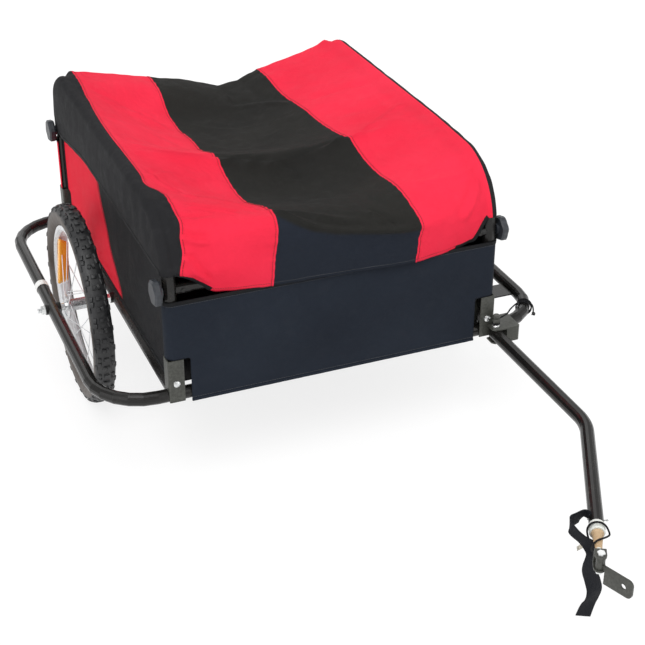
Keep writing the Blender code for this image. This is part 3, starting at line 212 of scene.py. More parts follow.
def satin_metal(name, colour, bright, rough, metallic):
    """Plated or painted sheet with rolled grain and rubbed edges."""
    look = Look(name, Metallic=metallic, Specular_IOR_Level=0.5)
    grain = look.noise(240.0, 6.0, 0.65)
    cloud = look.noise(28.0, 4.0, 0.6)
    tone = look.mix(look.spread(cloud, 0.3, 0.75, 0.0, 0.35), colour, bright)
    tone = look.mix(look.rubbed(0.52, 0.60, look.spread(grain, 0.35, 0.6)), tone, bright)
    return look.done(tone, look.spread(grain, 0.25, 0.75, *rough), look.bump(grain, 0.00010))


def moulded(name, colour, light, rough, grain_scale=520.0, relief=0.00008):
    """Moulded plastic or rubber with a fine spark texture."""
    look = Look(name)
    grain = look.noise(grain_scale)
    tone = look.mix(look.spread(look.noise(24.0, 5.0, 0.6), 0.35, 0.75), colour, light)
    return look.done(tone, look.spread(grain, 0.3, 0.7, *rough), look.bump(grain, relief))


def prismatic(name):
    """Amber lens with its rows of small prisms."""
    look = Look(name, Coat_Weight=0.6, Coat_Roughness=0.04, Transmission_Weight=0.12, IOR=1.49)
    prisms = look.add("TexVoronoi", {"Vector": look.place, "Scale": 420.0},
                      feature="SMOOTH_F1").outputs["Distance"]
    rows = look.calc("MULTIPLY", look.bands(0.0024, "Z", look.place), 0.35)
    tone = look.mix(look.spread(prisms, 0.1, 0.7), (1.0, 0.50, 0.040), (0.95, 0.34, 0.015))
    return look.done(look.mix(rows, tone, (1.0, 0.60, 0.14)), look.spread(prisms, 0.0, 1.0, 0.08, 0.22),
                     look.bump(prisms, 0.0006))


def tyre_rubber(name):
    """Black tread turning brown and dusty on the side walls."""
    look = Look(name, Specular_IOR_Level=0.6)
    split = look.add("SeparateXYZ", {0: look.place}).outputs
    squares = [look.calc("POWER", look.calc("SUBTRACT", split[k], float(SHIFT[k])), 2.0) for k in (1, 2)]
    reach = look.calc("SQRT", look.calc("ADD", *squares))
    dust = look.noise(60.0, 6.0, 0.7)
    wall = look.spread(look.calc("ADD", reach, look.calc("MULTIPLY", dust, 0.010)), 0.1905, 0.1965)
    brown = look.mix(dust, (0.045, 0.034, 0.027), (0.085, 0.066, 0.053))
    black = look.mix(look.spread(dust, 0.4, 0.8), (0.0095, 0.0100, 0.0115), (0.036, 0.036, 0.037))
    rings = look.calc("SINE", look.calc("MULTIPLY", reach, 1900.0))
    normal = look.bump(rings, 0.00010, look.bump(look.noise(300.0, 4.0), 0.0002))
    return look.done(look.mix(wall, brown, black), look.spread(dust, 0.3, 0.8, 0.40, 0.66), normal)


RED = woven("red_cloth_look", (0.92, 0.031, 0.074), (0.84, 0.023, 0.058))
# The charcoal's last colour is painted light: a bluish tint for the light on the stripe's front face past
# the fold.
CHARCOAL = woven("charcoal_cloth_look", (0.0208, 0.0203, 0.0180), (0.0150, 0.0148, 0.0138), 0.02,
                 (0.0150, 0.0195, 0.0300))
SIDE_RED = woven("side_red_cloth_look", (0.94, 0.024, 0.056), (0.82, 0.018, 0.044))
NAVY = woven("navy_cloth_look", (0.0175, 0.0230, 0.0340), (0.0130, 0.0170, 0.0260), 0.02)
SIDE_BLACK = woven("side_cloth_look", (0.0205, 0.0205, 0.0225), (0.0140, 0.0140, 0.0155), 0.03)
TAPE = tape_cloth("binding_look", (0.0055, 0.0060, 0.0070), (0.013, 0.014, 0.016))
WEBBING = tape_cloth("webbing_look", (0.0060, 0.0068, 0.0100), (0.016, 0.018, 0.024))
RED_THREAD = moulded("red_thread_look", (0.20, 0.006, 0.012), (0.34, 0.012, 0.022), (0.5, 0.7))
DARK_THREAD = moulded("dark_thread_look", (0.030, 0.032, 0.036), (0.07, 0.075, 0.085), (0.5, 0.7))
CORD = tape_cloth("cord_look", (0.006, 0.006, 0.007), (0.022, 0.022, 0.025))
ZINC = satin_metal("zinc_look", (0.66, 0.68, 0.69), (0.86, 0.87, 0.86), (0.16, 0.34), 1.0)
KNOB = moulded("knob_look", (0.018, 0.021, 0.027), (0.036, 0.041, 0.050), (0.34, 0.5))
TAN = moulded("tan_rubber_look", (0.50, 0.34, 0.19), (0.66, 0.50, 0.32), (0.45, 0.65), 160.0, 0.0003)
LENS = prismatic("amber_look")
RUBBER = tyre_rubber("tyre_look")
TAG = tape_cloth("tag_look", (0.62, 0.58, 0.48), (0.78, 0.75, 0.66))

SLOT_OF = {
    "frame_black": gloss_paint("frame_black_look", (0.0088, 0.0082, 0.0076), (0.075, 0.066, 0.056)),
    "bracket_black": satin_metal("bracket_look", (0.034, 0.035, 0.029), (0.080, 0.082, 0.072),
                                 (0.34, 0.5), 0.25),
    "zinc": ZINC, "knob_plastic": KNOB,
    "floor_grey": moulded("floor_look", (0.050, 0.050, 0.052), (0.085, 0.085, 0.085), (0.6, 0.8),
                          90.0, 0.0005),
    "navy_cloth": NAVY, "red_cloth": RED, "black_cloth": SIDE_BLACK, "tyre_rubber": RUBBER,
    "rim_white": satin_metal("rim_look", (0.72, 0.74, 0.76), (0.84, 0.85, 0.86), (0.22, 0.36), 0.0),
    "hub_steel": satin_metal("hub_look", (0.55, 0.56, 0.57), (0.80, 0.80, 0.80), (0.2, 0.36), 1.0),
    "amber_lens": LENS,
    "band_white": moulded("white_band_look", (0.78, 0.78, 0.77), (0.88, 0.88, 0.87), (0.28, 0.45)),
    "rubber_tan": TAN,
    "nylon_white": moulded("nylon_look", (0.74, 0.76, 0.71), (0.83, 0.84, 0.80), (0.3, 0.45)),
    "webbing_black": WEBBING, "cord_black": CORD,
}


def dress_solids():
    """Give every solid of the frame the look of its slot."""
    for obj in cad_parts.values():
        for place in obj.material_slots:
            key = place.material.name.split(".")[0]
            for slot, material in SLOT_OF.items():
                if key == slot or key.endswith(slot):
                    place.material = material


# Shape helpers

def mm(width, *values):
    """Rows of so many values each, given in millimetres."""
    return np.array(values, float).reshape(-1, width) / 1000


def ease(value, low, high):
    """Smooth step from 0 at low to 1 at high."""
    part = np.clip((np.asarray(value, float) - low) / (high - low), 0.0, 1.0)
    return part * part * (3 - 2 * part)


def between(value, knots):
    """Eased curve through (position, height) knots."""
    for (a, low), (b, high) in zip(knots, knots[1:]):
        if value <= b:
            return low + (high - low) * ease(value, a, b)
    return knots[-1][1]


def unit(v):
    return v / np.maximum(np.linalg.norm(v, axis=-1, keepdims=True), 1e-9)


def run_of(points):
    """Distance along a path at each of its points."""
    return np.concatenate([[0], np.cumsum(np.linalg.norm(np.diff(points, axis=0), axis=1))])


def pick(points, run, at):
    """Values of a path at the given distances along it."""
    return np.stack([np.interp(at, run, points[:, k]) for k in range(points.shape[1])], axis=1)


def even(line, count):
    """A path cut into so many equal steps."""
    run = run_of(line)
    return pick(line, run, np.linspace(0, run[-1], count + 1))


def smooth_path(points, count):
    """Even points on a smooth curve through the given ones."""
    pts = np.asarray(points, float)
    ends = np.vstack([2 * pts[0] - pts[1], pts, 2 * pts[-1] - pts[-2]])
    fine = []
    for i in range(1, len(ends) - 2):
        p0, p1, p2, p3 = ends[i - 1:i + 3]
        for t in (k / 12 for k in range(12)):
            fine.append(0.5 * (2 * p1 + (p2 - p0) * t + (2 * p0 - 5 * p1 + 4 * p2 - p3) * t * t
                               + (3 * p1 - 3 * p2 + p3 - p0) * t ** 3))
    return even(np.array(fine + [pts[-1]]), count - 1)


def mesh_object(name, verts, faces, materials, body=None, indices=None, uvs=None):
    """Piece from points and faces; points are shifted to the floor frame."""
    mesh = bpy.data.meshes.new(name)
    mesh.from_pydata((np.asarray(verts, float) + SHIFT).tolist(), [],
                     [tuple(int(i) for i in f) for f in faces])
    for material in (materials if isinstance(materials, list) else [materials]):
        mesh.materials.append(material)
    if indices is not None:
        mesh.polygons.foreach_set("material_index", indices)
    mesh.polygons.foreach_set("use_smooth", [True] * len(mesh.polygons))
    if uvs is not None:
        layer = mesh.uv_layers.new(name="run")
        layer.data.foreach_set("uv", [c for f in faces for i in f for c in uvs[int(i)]])
    obj = bpy.data.objects.new(name, mesh)
    bpy.context.scene.collection.objects.link(obj)
    if body:
        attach(obj, body)
    return obj


def ring_faces(rings, sides, closed=False):
    """Quads between rings of equal length, caps at open ends."""
    faces = []
    for a in range(rings if closed else rings - 1):
        b = (a + 1) % rings
        for i in range(sides):
            j = (i + 1) % sides
            faces.append((a * sides + i, a * sides + j, b * sides + j, b * sides + i))
    if not closed:
        faces.append(tuple(reversed(range(sides))))
        faces.append(tuple((rings - 1) * sides + i for i in range(sides)))
    return faces


def round_tube(name, path, radius, material, body=None, sides=10):
    """Round cord along a path, its rings turned as little as can be."""
    run = run_of(path)
    side = UP
    verts = []
    uvs = []
    for point, t, at in zip(path, unit(np.gradient(path, axis=0)), run):
        side = unit(side - t * np.dot(side, t))
        other = np.cross(t, side)
        for k in range(sides):
            turn = 2 * math.pi * k / sides
            verts.append(point + (side * math.cos(turn) + other * math.sin(turn)) * radius)
            uvs.append((at, radius * turn))
    return mesh_object(name, verts, ring_faces(len(path), sides), material, body, uvs=uvs)


def flat_strip(name, points, across, out, section, material, body, run):
    """Strip along a path, with a section of (across, out) pairs, or one for each point."""
    section = np.broadcast_to(section, (len(points), *np.shape(section)[-2:]))
    verts = points[:, None] + across[:, None] * section[..., :1] + out[:, None] * section[..., 1:]
    uvs = [(at, a) for at, ring in zip(run, section) for a, _ in ring]
    return mesh_object(name, verts.reshape(-1, 3), ring_faces(*section.shape[:2]), material, body, uvs=uvs)


def lathe(centre, axis, profile, steps):
    """Points and faces of a solid turned about an axis from (along, radius) rows."""
    axis = unit(axis)
    side = unit(np.cross(axis, UP if abs(axis[2]) < 0.9 else (1.0, 0, 0)))
    up = np.cross(axis, side)
    verts = []
    for along, radius in profile:
        for k in range(steps):
            turn = 2 * math.pi * k / steps
            verts.append(centre + axis * along + (side * math.cos(turn) + up * math.sin(turn)) * radius)
    return verts, ring_faces(len(profile), steps)


class Parcel:
    """Collects many small bodies into one piece."""

    def __init__(self):
        self.verts = []
        self.faces = []

    def put(self, verts, faces):
        base = len(self.verts)
        self.verts += list(verts)
        self.faces += [tuple(base + i for i in f) for f in faces]

    def stitch(self, point, line, normal, length, radius=0.00048):
        """One raised stitch lying along a line."""
        line = unit(line)
        normal = unit(normal)
        across = np.cross(line, normal)
        verts = []
        for share, lift in ((-0.5, -0.6), (-0.3, 0.55), (0.3, 0.55), (0.5, -0.6)):
            centre = point + line * share * length + normal * lift * radius
            verts += [centre + (across * a + normal * b) * radius
                      for a, b in ((-1, 0), (0, 1), (1, 0), (0, -1))]
        self.put(verts, ring_faces(4, 4))

    def make(self, name, material, body):
        obj = mesh_object(name, self.verts, self.faces, material, body)
        obj.data.set_sharp_from_angle(angle=math.radians(40))
        return obj


# Camera, light and floor

def studio():
    scene = bpy.context.scene
    data = bpy.data.cameras.new("camera")
    data.sensor_width = 36.0
    data.lens = CAMERA_LENS
    data.clip_end = 30.0
    camera = bpy.data.objects.new("camera", data)
    back = Vector(CAMERA_BACK).normalized()
    up = back.cross(Vector(CAMERA_RIGHT).normalized()).normalized()
    axes = Matrix((up.cross(back), up, back)).transposed()
    camera.matrix_world = Matrix.Translation(CAMERA_AT) @ axes.to_4x4()
    scene.collection.objects.link(camera)
    scene.camera = camera
    scene.view_settings.view_transform = "Standard"

    scene.world = bpy.data.worlds.new("studio")
    scene.world.use_nodes = True
    tree = scene.world.node_tree
    ground = tree.nodes["Background"]
    ground.inputs["Color"].default_value = (1.0, 1.0, 1.0, 1.0)
    level = tree.nodes.new("ShaderNodeMapRange")
    level.inputs["To Min"].default_value = 0.55
    tree.links.new(tree.nodes.new("ShaderNodeLightPath").outputs["Is Camera Ray"], level.inputs["Value"])
    tree.links.new(level.outputs[0], ground.inputs["Strength"])

    for name, direction, strength, spread in (("key", (-0.35, -0.55, 1.25), 1.30, 0.7),
                                              ("side", (-1.0, -0.35, 0.45), 0.65, 0.9),
                                              ("fill", (0.8, -0.80, 0.7), 0.60, 0.9),
                                              ("back", (0.2, 1.0, 0.7), 0.45, 0.9)):
        lamp = bpy.data.lights.new(name, "SUN")
        lamp.energy = strength
        lamp.angle = spread
        obj = bpy.data.objects.new(name, lamp)
        obj.rotation_euler = Vector(direction).to_track_quat("Z", "Y").to_euler()
        scene.collection.objects.link(obj)

    look = Look("floor_white", Base_Color=(0.86, 0.86, 0.86, 1.0), Roughness=0.9, Specular_IOR_Level=0.1)
    glow = look.add("Emission", {"Strength": 0.80}).outputs[0]
    shade = look.add("BsdfDiffuse", {"Color": (0.24, 0.24, 0.24, 1.0)}).outputs[0]
    ray = look.add("LightPath").outputs
    seen = look.add("Math", {0: ray["Is Camera Ray"],
                             1: look.calc("ADD", ray["Is Glossy Ray"], ray["Is Transmission Ray"])},
                    operation="ADD", use_clamp=True).outputs[0]
    bright = look.add("AddShader", {0: glow, 1: shade}).outputs[0]
    choose = look.add("MixShader", {0: seen, 1: look.shader.outputs[0], 2: bright}).outputs[0]
    look.tree.links.new(choose, look.tree.nodes["Material Output"].inputs["Surface"])
    mesh = bpy.data.meshes.new("floor")
    mesh.from_pydata([(FLOOR_HALF * a, FLOOR_HALF * b, 0) for a, b in ((-1, -1), (1, -1), (1, 1), (-1, 1))],
                     [], [(0, 1, 2, 3)])
    mesh.materials.append(look.material)
    floor = bpy.data.objects.new("floor", mesh)
    scene.collection.objects.link(floor)


# Cords and strap


def lanyard():
    """Cord from a loop under the pin head to two turns round the guard bend."""
    middle = np.array((0.3455, -0.295, 0.0))
    bend = 0.100
    hug = (TUBE_R + CORD_R + 2 * GAP) / math.cos(math.pi / 12)
    loop_z = RAIL_TOP + THICK_PLATE + BUSH_HEIGHT + CORD_R + 0.0010
    reach = PIN_R + CORD_R + 0.0008
    path = []
    for k in range(11):
        swing = math.radians(450 - 32 * k)
        path.append((PIVOT[0] + reach * math.cos(swing), PIVOT[1] + reach * math.sin(swing),
                     loop_z + 0.0001 * k))
    path += [(0.3340, -0.4135, 0.0255), (0.3560, -0.4080, 0.0290), (0.3720, -0.3960, 0.0315),
             (0.3900, -0.3820, 0.0300), (0.4040, -0.3680, 0.0240)]
    for k in range(28):
        swing = math.radians(150 - 30 * k)
        turn = math.radians(-34) + 0.0005 * (14 - k) / bend
        out = np.array((math.cos(turn), math.sin(turn), 0))
        path.append(middle + out * (bend + hug * math.cos(swing)) + UP * (hug * math.sin(swing)))
    path += [path[-1] + out * a + UP * b for a, b in ((0.004, 0.0015), (0.009, -0.002), (0.012, -0.010),
                                                      (0.013, -0.022))]
    line = smooth_path(path, 260)
    cord = round_tube("lanyard_cord", line, CORD_R, CORD)
    tail = knot(line[-1], unit(line[-1] - line[-4]))
    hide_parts("lanyard")
    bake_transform(cord)
    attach(tail, "frame")


def knot(point, line, radius=0.0026):
    """Small overhand knot."""
    side = unit(np.cross(line, (0.3, 1.0, 0.2)))
    up = np.cross(line, side)
    path = []
    for t in (2 * math.pi * k / 48 for k in range(49)):
        x = math.sin(t) + 2 * math.sin(2 * t)
        y = math.cos(t) - 2 * math.cos(2 * t)
        path.append(point + (side * x + up * y) * radius * 0.42 - line * math.sin(3 * t) * radius * 0.8)
    return round_tube("lanyard_knot", np.array(path), CORD_R * 0.72, CORD, sides=8)


# Points of the strap in mm from the arm's end (along, outward, up), and its cross direction there
STRAP_ROUTE = np.array([
    (-20, 16, 0, 0.8, 0, 0.6), (-16, 19.5, 5, 0.4, 0, 1), (-11, 24.5, 8, 0.2, 0, 1),
    (0, 34.2, 9.7, 0.1, 0, 1), (8, 41.2, 9.8, 0, 0.1, 1), (16, 43.2, 8.8, -0.1, 0, 1),
    (23.5, 40, 6, 0.2, -0.1, 0.9), (29, 32.5, 1, 0.4, -0.25, 0.8), (32.5, 22.8, -5, 0.4, -0.3, 0.75),
    (34.5, 12.5, -12.5, 0.2, -0.6, 0.6), (35, 4.5, -23, -0.1, -0.9, 0.3), (34.5, 3, -36, -0.1, -1, 0),
    (32, 5.7, -53, -0.1, -1, 0), (28, 5, -72.5, 0, -1, -0.1), (22, -1, -94, -0.1, -1, -0.1),
    (17, -6.2, -117, -0.3, -0.9, 0), (13, -4.5, -138, -0.4, -0.8, 0), (10, 1, -156, -0.3, -0.9, -0.1),
    (8.5, 6, -180, -0.2, -1, -0.1)])
NECK_LOOP = mm(3, 36, 1.5, -27, 32, 6.5, -19, 25, 12, -11, 18, 15, -4, 14.5, 15.6, 3, 13, 12.5, 9.8,
               12.5, 6.5, 14.8, 12.5, 0, 16.2, 12.5, -6.5, 14.8, 12.8, -12.8, 9.8, 13.5, -17.5, 2,
               15.5, -19.8, -4, 26, -17.2, 0.5, 36, -11.8, 5, 44, -5, 8.2, 50, 3.5, 8, 51, 9, 0,
               47, 9.6, -10.5, 41, 6.5, -22, 37, 3.5, -32)
ARM_AXES = np.array((ARM_LINE, ARM_SIDE, UP))


def strap():
    """Webbing strap with its stitched loop and label, and the cord round the coupler's neck."""
    line = smooth_path(np.hstack([ARM_END + STRAP_ROUTE[:, :3] / 1000 @ ARM_AXES,
                                  STRAP_ROUTE[:, 3:] @ ARM_AXES]), 150)
    points = line[:, :3]
    tangents = unit(np.gradient(points, axis=0))
    across = line[:, 3:]
    across = unit(across - tangents * (across * tangents).sum(axis=1, keepdims=True))
    out = np.cross(tangents, across)
    run = run_of(points)
    half = STRAP_WIDTH / 2
    low = [(-1.0, -0.35), (-0.97, -0.9), (-0.5, -1.0), (0.0, -1.0), (0.5, -1.0), (0.97, -0.9), (1.0, -0.35)]
    section = [(a * half, b * 0.0008) for a, b in low + [(-a, -b) for a, b in low]]
    bows = [[(a, b + 0.0010 * math.sin(at * 70) * (1 - (a / half) ** 2)) for a, b in section] for at in run]
    band = flat_strip("safety_strap_webbing", points, across, out, bows, WEBBING, "tow_arm", run)

    tag_at = int(np.argmin(np.linalg.norm(
        points - ARM_END - np.array((0.0335, 0.0190, -0.0080)) @ ARM_AXES, axis=1)))
    part = slice(tag_at, tag_at + 12)
    section = [(a * half, -b) for a, b in ((-2.00, 0.0010), (-1.2, 0.0012), (-0.45, 0.0010),
                                           (-0.45, 0.0017), (-1.2, 0.0019), (-2.00, 0.0017))]
    tag = flat_strip("strap_tag", points[part], across[part], out[part], section, TAG, "tow_arm", run[part])
    thread = Parcel()
    for n in range(4, 14):
        for a in (-0.7, -0.25, 0.25, 0.7):
            thread.stitch(points[n] + across[n] * a * half + out[n] * 0.0009, tangents[n], out[n], 0.0022)
    stitch = thread.make("strap_stitches", DARK_THREAD, "tow_arm")
    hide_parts("safety_strap")

    path = smooth_path(ARM_END + NECK_LOOP @ ARM_AXES, 120)
    neck = round_tube("neck_cord", path, NECK_CORD_R, CORD, "tow_arm")


# Cloth

class Cloth:
    """A sheet over a grid of points, kept as an array so that seams can be found again."""

    def __init__(self, grid, way, keep=None):
        self.grid = np.asarray(grid, float)
        self.way = way
        self.rows, self.cols = self.grid.shape[:2]
        self.keep = np.ones((self.rows - 1, self.cols - 1), bool) if keep is None else keep

    def normals(self):
        """Directions off the outer face, the one that looks the cloth's way in its middle."""
        normal = unit(np.cross(np.gradient(self.grid, axis=1), np.gradient(self.grid, axis=0)))
        return normal if normal[self.rows // 2, self.cols // 2] @ self.way > 0 else -normal

    def lengths(self):
        across = np.linalg.norm(np.diff(self.grid, axis=1), axis=2)
        down = np.linalg.norm(np.diff(self.grid, axis=0), axis=2)
        u = np.concatenate([np.zeros((self.rows, 1)), np.cumsum(across, axis=1)], axis=1)
        v = np.concatenate([np.zeros((1, self.cols)), np.cumsum(down, axis=0)], axis=0)
        return u, v

    def mesh(self, name, materials, paint=None, body="frame", levels=1, flip=False, tone=None):
        u, v = self.lengths()
        u = u - u[:, self.cols // 2][:, None]
        used = np.zeros((self.rows, self.cols), bool)
        for part in np.s_[:-1, :-1], np.s_[1:, :-1], np.s_[:-1, 1:], np.s_[1:, 1:]:
            used[part] |= self.keep
        index = -np.ones(used.shape, int)
        index[used] = np.arange(used.sum())
        faces = []
        marks = []
        for j, i in np.argwhere(self.keep):
            cell = (index[j, i], index[j, i + 1], index[j + 1, i + 1], index[j + 1, i])
            faces.append(cell[::-1] if flip else cell)
            marks.append(0 if paint is None else int(paint[j, i]))
        uvs = np.stack([u[used], v[used]], axis=1)
        obj = mesh_object(name, self.grid[used], faces, materials, body, marks, uvs.tolist())
        # The tone attribute carries painted light: the share of a painted bluish tint for light on faces
        # turned to the front.
        if tone is not None:
            layer = obj.data.attributes.new("tone", "FLOAT", "POINT")
            layer.data.foreach_set("value", tone[used].astype(float))
        if levels:
            more = obj.modifiers.new("smooth", "SUBSURF")
            more.levels = more.render_levels = levels
            more.boundary_smooth = "PRESERVE_CORNERS"
        thick = obj.modifiers.new("thick", "SOLIDIFY")
        thick.thickness = SHEET_THICK
        thick.offset = 0
        graph = bpy.context.evaluated_depsgraph_get()
        mesh = bpy.data.meshes.new_from_object(obj.evaluated_get(graph))
        obj.modifiers.clear()
        old = obj.data
        obj.data = mesh
        bpy.data.meshes.remove(old)
        mesh.name = obj.name
        return obj

    def bind(self, name, at, near, material=None, body="frame", width=0.0085, thick=0.0019):
        """Tape folded over an edge; at and near pick the edge and a line inside it."""
        points = self.grid[at]
        half = [(0.0, 1.0), (0.25, 1.05), (0.75, 1.02), (1.0, 0.80), (1.0, 0.35)]
        section = half + [(a, -b) for a, b in reversed(half)] + [(-0.10, -0.75), (-0.16, 0.0), (-0.10, 0.75)]
        run = run_of(points)
        tangents = unit(np.gradient(points, axis=0))
        inward = self.grid[near] - points
        inward = unit(inward - tangents * (inward * tangents).sum(axis=1, keepdims=True))
        pucker = 1 + 0.10 * np.sin(run * 310) + 0.06 * np.sin(run * 127 + 1.0)
        rings = [[(a * width, b * thick * p) for a, b in section] for p in pucker]
        normals = np.cross(tangents, inward)
        return flat_strip(name, points, inward, normals, rings, material or TAPE, body, run)


def stitch_rows(name, lines, material, body, step=0.0046, length=0.0034):
    """Stitches along lines of (points, normals)."""
    parcel = Parcel()
    for points, normals in lines:
        run = run_of(points)
        count = max(int(run[-1] / step), 1)
        at = (np.arange(count) + 0.5) * run[-1] / count
        ahead = pick(points, run, at + 0.001) - pick(points, run, at - 0.001)
        for spot in zip(pick(points, run, at), ahead, pick(normals, run, at)):
            parcel.stitch(*spot, length)
    return parcel.make(name, material, body)


def bent(corners, radii, steps):
    """Path through corners with an arc of its own radius at each inner one."""
    corners = np.array(corners, float)
    path = [corners[0]]
    for last, here, following, radius in zip(corners, corners[1:], corners[2:], radii):
        back = unit(last - here)
        ahead = unit(following - here)
        half = math.acos(float(np.clip(np.dot(back, ahead), -1, 1))) / 2
        centre = here + unit(back + ahead) * (radius / math.sin(half))
        start = here + back * (radius / math.tan(half)) - centre
        end = here + ahead * (radius / math.tan(half)) - centre
        sweep = math.acos(float(np.clip(np.dot(unit(start), unit(end)), -1, 1)))
        for part in (k / steps for k in range(steps + 1)):
            path.append(centre + (start * math.sin((1 - part) * sweep) + end * math.sin(part * sweep))
                        / math.sin(sweep))
    return np.array(path + [corners[-1]])


FINER = 10
GUSSET_CELLS = 16
WRAP_CELLS = 8
CUTS = (4, 36, 52, 34)
SEAM_EDGE = 0.0022
FLAP_ROWS = 12
EDGE_ZONE = (0.290, 0.306)
BOUND_X = 0.236
SEAM_STITCH = 0.0045
HEM_STITCH = 0.0075
STITCH_LIFT = 0.0008


def side_line():
    """Stations (y, z) of the side line above the cover's hem, at the same shares as the solid's."""
    low = COVER_HEM - 0.2
    corners = [(-END_Y, low), (-END_Y, HOOP_SHOULDER), (HOOP_DROP_Y, HOOP_TOP), (END_Y, HOOP_TOP),
               (END_Y, low)]
    line = even(bent(corners, [FRONT_BEND, HOOP_DROP_BEND, REAR_BEND], 40), 4000)
    line = line[line[:, 1] >= COVER_HEM]
    marks = [-END_Y, -0.300, HOOP_DROP_Y, END_Y - REAR_BEND, END_Y]
    parts = []
    for low, high, count in zip(marks, marks[1:], (7, 2, 5, 6)):
        inside = line[(line[:, 0] >= low - 0.0002) & (line[:, 0] <= high + 0.0003)]
        parts.append(even(inside, count * FINER)[:-1])
    stations = np.vstack(parts + [line[-1:]])
    stations[[0, -1], 1] = COVER_HEM
    return stations


FRONT_HEM = mm(2, -262, 208.5, -225, 197.5, -189, 194.5, -129, 193, -57, 192.5, 21, 190.5,
               147, 188.5, 202, 191.5, 243, 195, 272, 200)


def hem_height(x, sy):
    """Lower edge of the end flaps: level in the middle, cut away at the corners."""
    level = between(x, FRONT_HEM) if sy < 0 else FLAP_HEM
    corner = 0.274 if sy < 0 and x > 0 else 0.235
    return level + (COVER_HEM - level) * ease(abs(x), corner, 0.306)


# Cover sections (y, z) at the stripe seams and between them, from front hem to rear hem
SECTION_RIGHT = mm(
    2, -421.5, 244.5, -422.5, 268, -423, 289, -416.5, 312, -398, 321.5, -368, 319, -327, 310, -269, 290,
    -218, 281.5, -176, 283.5, -132, 293.8, -98, 307, -79, 311, -60, 305.5, -31, 296, 10, 284.8, 69, 281.5,
    147, 273, 201, 274, 245, 274, 284, 290, 311, 305, 335, 315, 362, 316.5, 390, 306, 406, 284, 410, 244.5)
SECTION_MIDDLE = mm(
    2, -424.5, 244.5, -426.5, 260, -427, 276, -419, 290, -400, 300, -370, 303, -330, 297, -275, 280,
    -225, 274, -180, 276, -135, 288, -109, 298.5, -92, 302, -75, 297.5, -40, 286, 5, 274, 70, 268,
    145, 261, 205, 260, 250, 262, 290, 270, 320, 278, 340, 282, 362, 283.5, 390, 276, 406, 264, 410, 244.5)
SECTION_LEFT = mm(
    2, -428, 244.5, -429.5, 253, -430, 264, -426, 273, -410, 283.5, -386, 293.5, -356, 303.5, -324, 306.5,
    -277, 301.7, -227, 302.8, -183, 308.3, -150, 316.5, -123, 321.5, -100, 316.5, -70, 309.5, -30, 305,
    30, 302, 100, 300, 186, 292.6, 248, 289, 290, 290.5, 320, 293.5, 340, 297, 362, 299, 390, 290,
    406, 274, 410, 244.5)
# Heights (x, z) of the rear edge against the sky
SKYLINE = mm(2, -306, 354, -279, 349.5, -227, 339, -184, 330.5, -140, 320.5, -96, 310, -51, 300.2, -6, 287,
             17, 279.5, 40, 270, 63, 274.5, 87, 277.5, 111, 290.5, 135, 298.5, 182, 310.5, 230, 322.5,
             279, 337, 306, 354)
# Seams (run, x) along the cover; the crown seam, on the right, as its distance from the middle
CROWN_SEAM = mm(2, -60, 298, 3, 294.5, 33, 286, 55, 285, 85, 279, 94, 280, 130, 281.5, 172, 288, 183, 297,
                242, 300, 324, 302, 419, 304.5, 514, 303, 625, 296, 720, 290, 893, 290)
STRIPE_RIGHT = mm(2, -60, -131, 0, -126, 50, -119, 300, -119, 500, -119, 893, -118)
STRIPE_LEFT = mm(2, -60, 144, 0, 150, 20, 154, 60, 150, 150, 144, 350, 140, 600, 133, 800, 131, 893, 130)
STRIPE_MIDDLE_X = 0.012


def hermite(t, step, a, b, slope_a, slope_b):
    """Cubic from a to b over a step, with a slope at each end."""
    return ((2 * t ** 3 - 3 * t * t + 1) * a + (t ** 3 - 2 * t * t + t) * step * slope_a
            + (3 * t * t - 2 * t ** 3) * b + (t ** 3 - t * t) * step * slope_b)


def curve(at, knots):
    """Cubic curve through (position, value) rows."""
    xs, ys = knots.T
    slopes = np.gradient(ys, xs)
    at = np.clip(at, xs[0], xs[-1])
    i = np.clip(np.searchsorted(xs, at, side="right") - 1, 0, len(xs) - 2)
    step = xs[i + 1] - xs[i]
    return hermite((at - xs[i]) / step, step, ys[i], ys[i + 1], slopes[i], slopes[i + 1])


def across_row(xs, knots, values):
    """Smooth row through values at the knots, evaluated at many places."""
    values = np.array(values)
    steps = np.diff(knots)[:, None]
    rise = np.diff(values, axis=0) / steps
    slopes = np.zeros_like(values)
    slopes[1:-1] = (rise[:-1] * steps[1:] + rise[1:] * steps[:-1]) / (steps[1:] + steps[:-1])
    slopes[0] = 1.35 * rise[0] - 0.35 * slopes[1]
    slopes[-1] = 1.35 * rise[-1] - 0.35 * slopes[-2]
    i = np.clip(np.searchsorted(knots, xs, side="right") - 1, 0, len(knots) - 2)
    t = (xs - knots[i])[:, None] / steps[i]
    return hermite(t, steps[i], values[i], values[i + 1], slopes[i], slopes[i + 1])


def shares(count, edge, length):
    """Shares across a cut, with two narrow columns inside each seam."""
    near = min(edge / length, 0.2)
    far = 2.2 * near
    return [0.0, near, far, *(far + (1 - 2 * far) * k / count for k in range(1, count)), 1 - far, 1 - near]


def cover_sides(outer, off, part_of):
    """One side of the cover on +X, from its hem up and over the hoop, at each station."""
    y, z = outer.T[..., None]
    foot = (outer[0, 0] + (outer[-1, 0] - outer[0, 0]) * part_of)[:, None]
    hem = COVER_HEM - 0.030 * ease(foot, 0.10, 0.40)
    part = np.arange(GUSSET_CELLS) / (GUSSET_CELLS - 1)
    belly = 0.003 * np.sin(math.pi * part) * ease((z - COVER_HEM) / (HOOP_TOP - COVER_HEM), 0.13, 0.75)
    gusset = np.stack([SIDE_X + WRAP_R + belly, foot + (y - foot) * part, hem + (z - hem) * part], axis=-1)
    turn = np.radians(90 - 120 * np.arange(1, WRAP_CELLS) / WRAP_CELLS)
    out = WRAP_R * np.cos(turn)
    wrap = np.stack([SIDE_X + WRAP_R * np.sin(turn) + 0 * y, y + out * off[:, :1], z + out * off[:, 1:]],
                    axis=-1)
    return np.concatenate([gusset, wrap], axis=1)


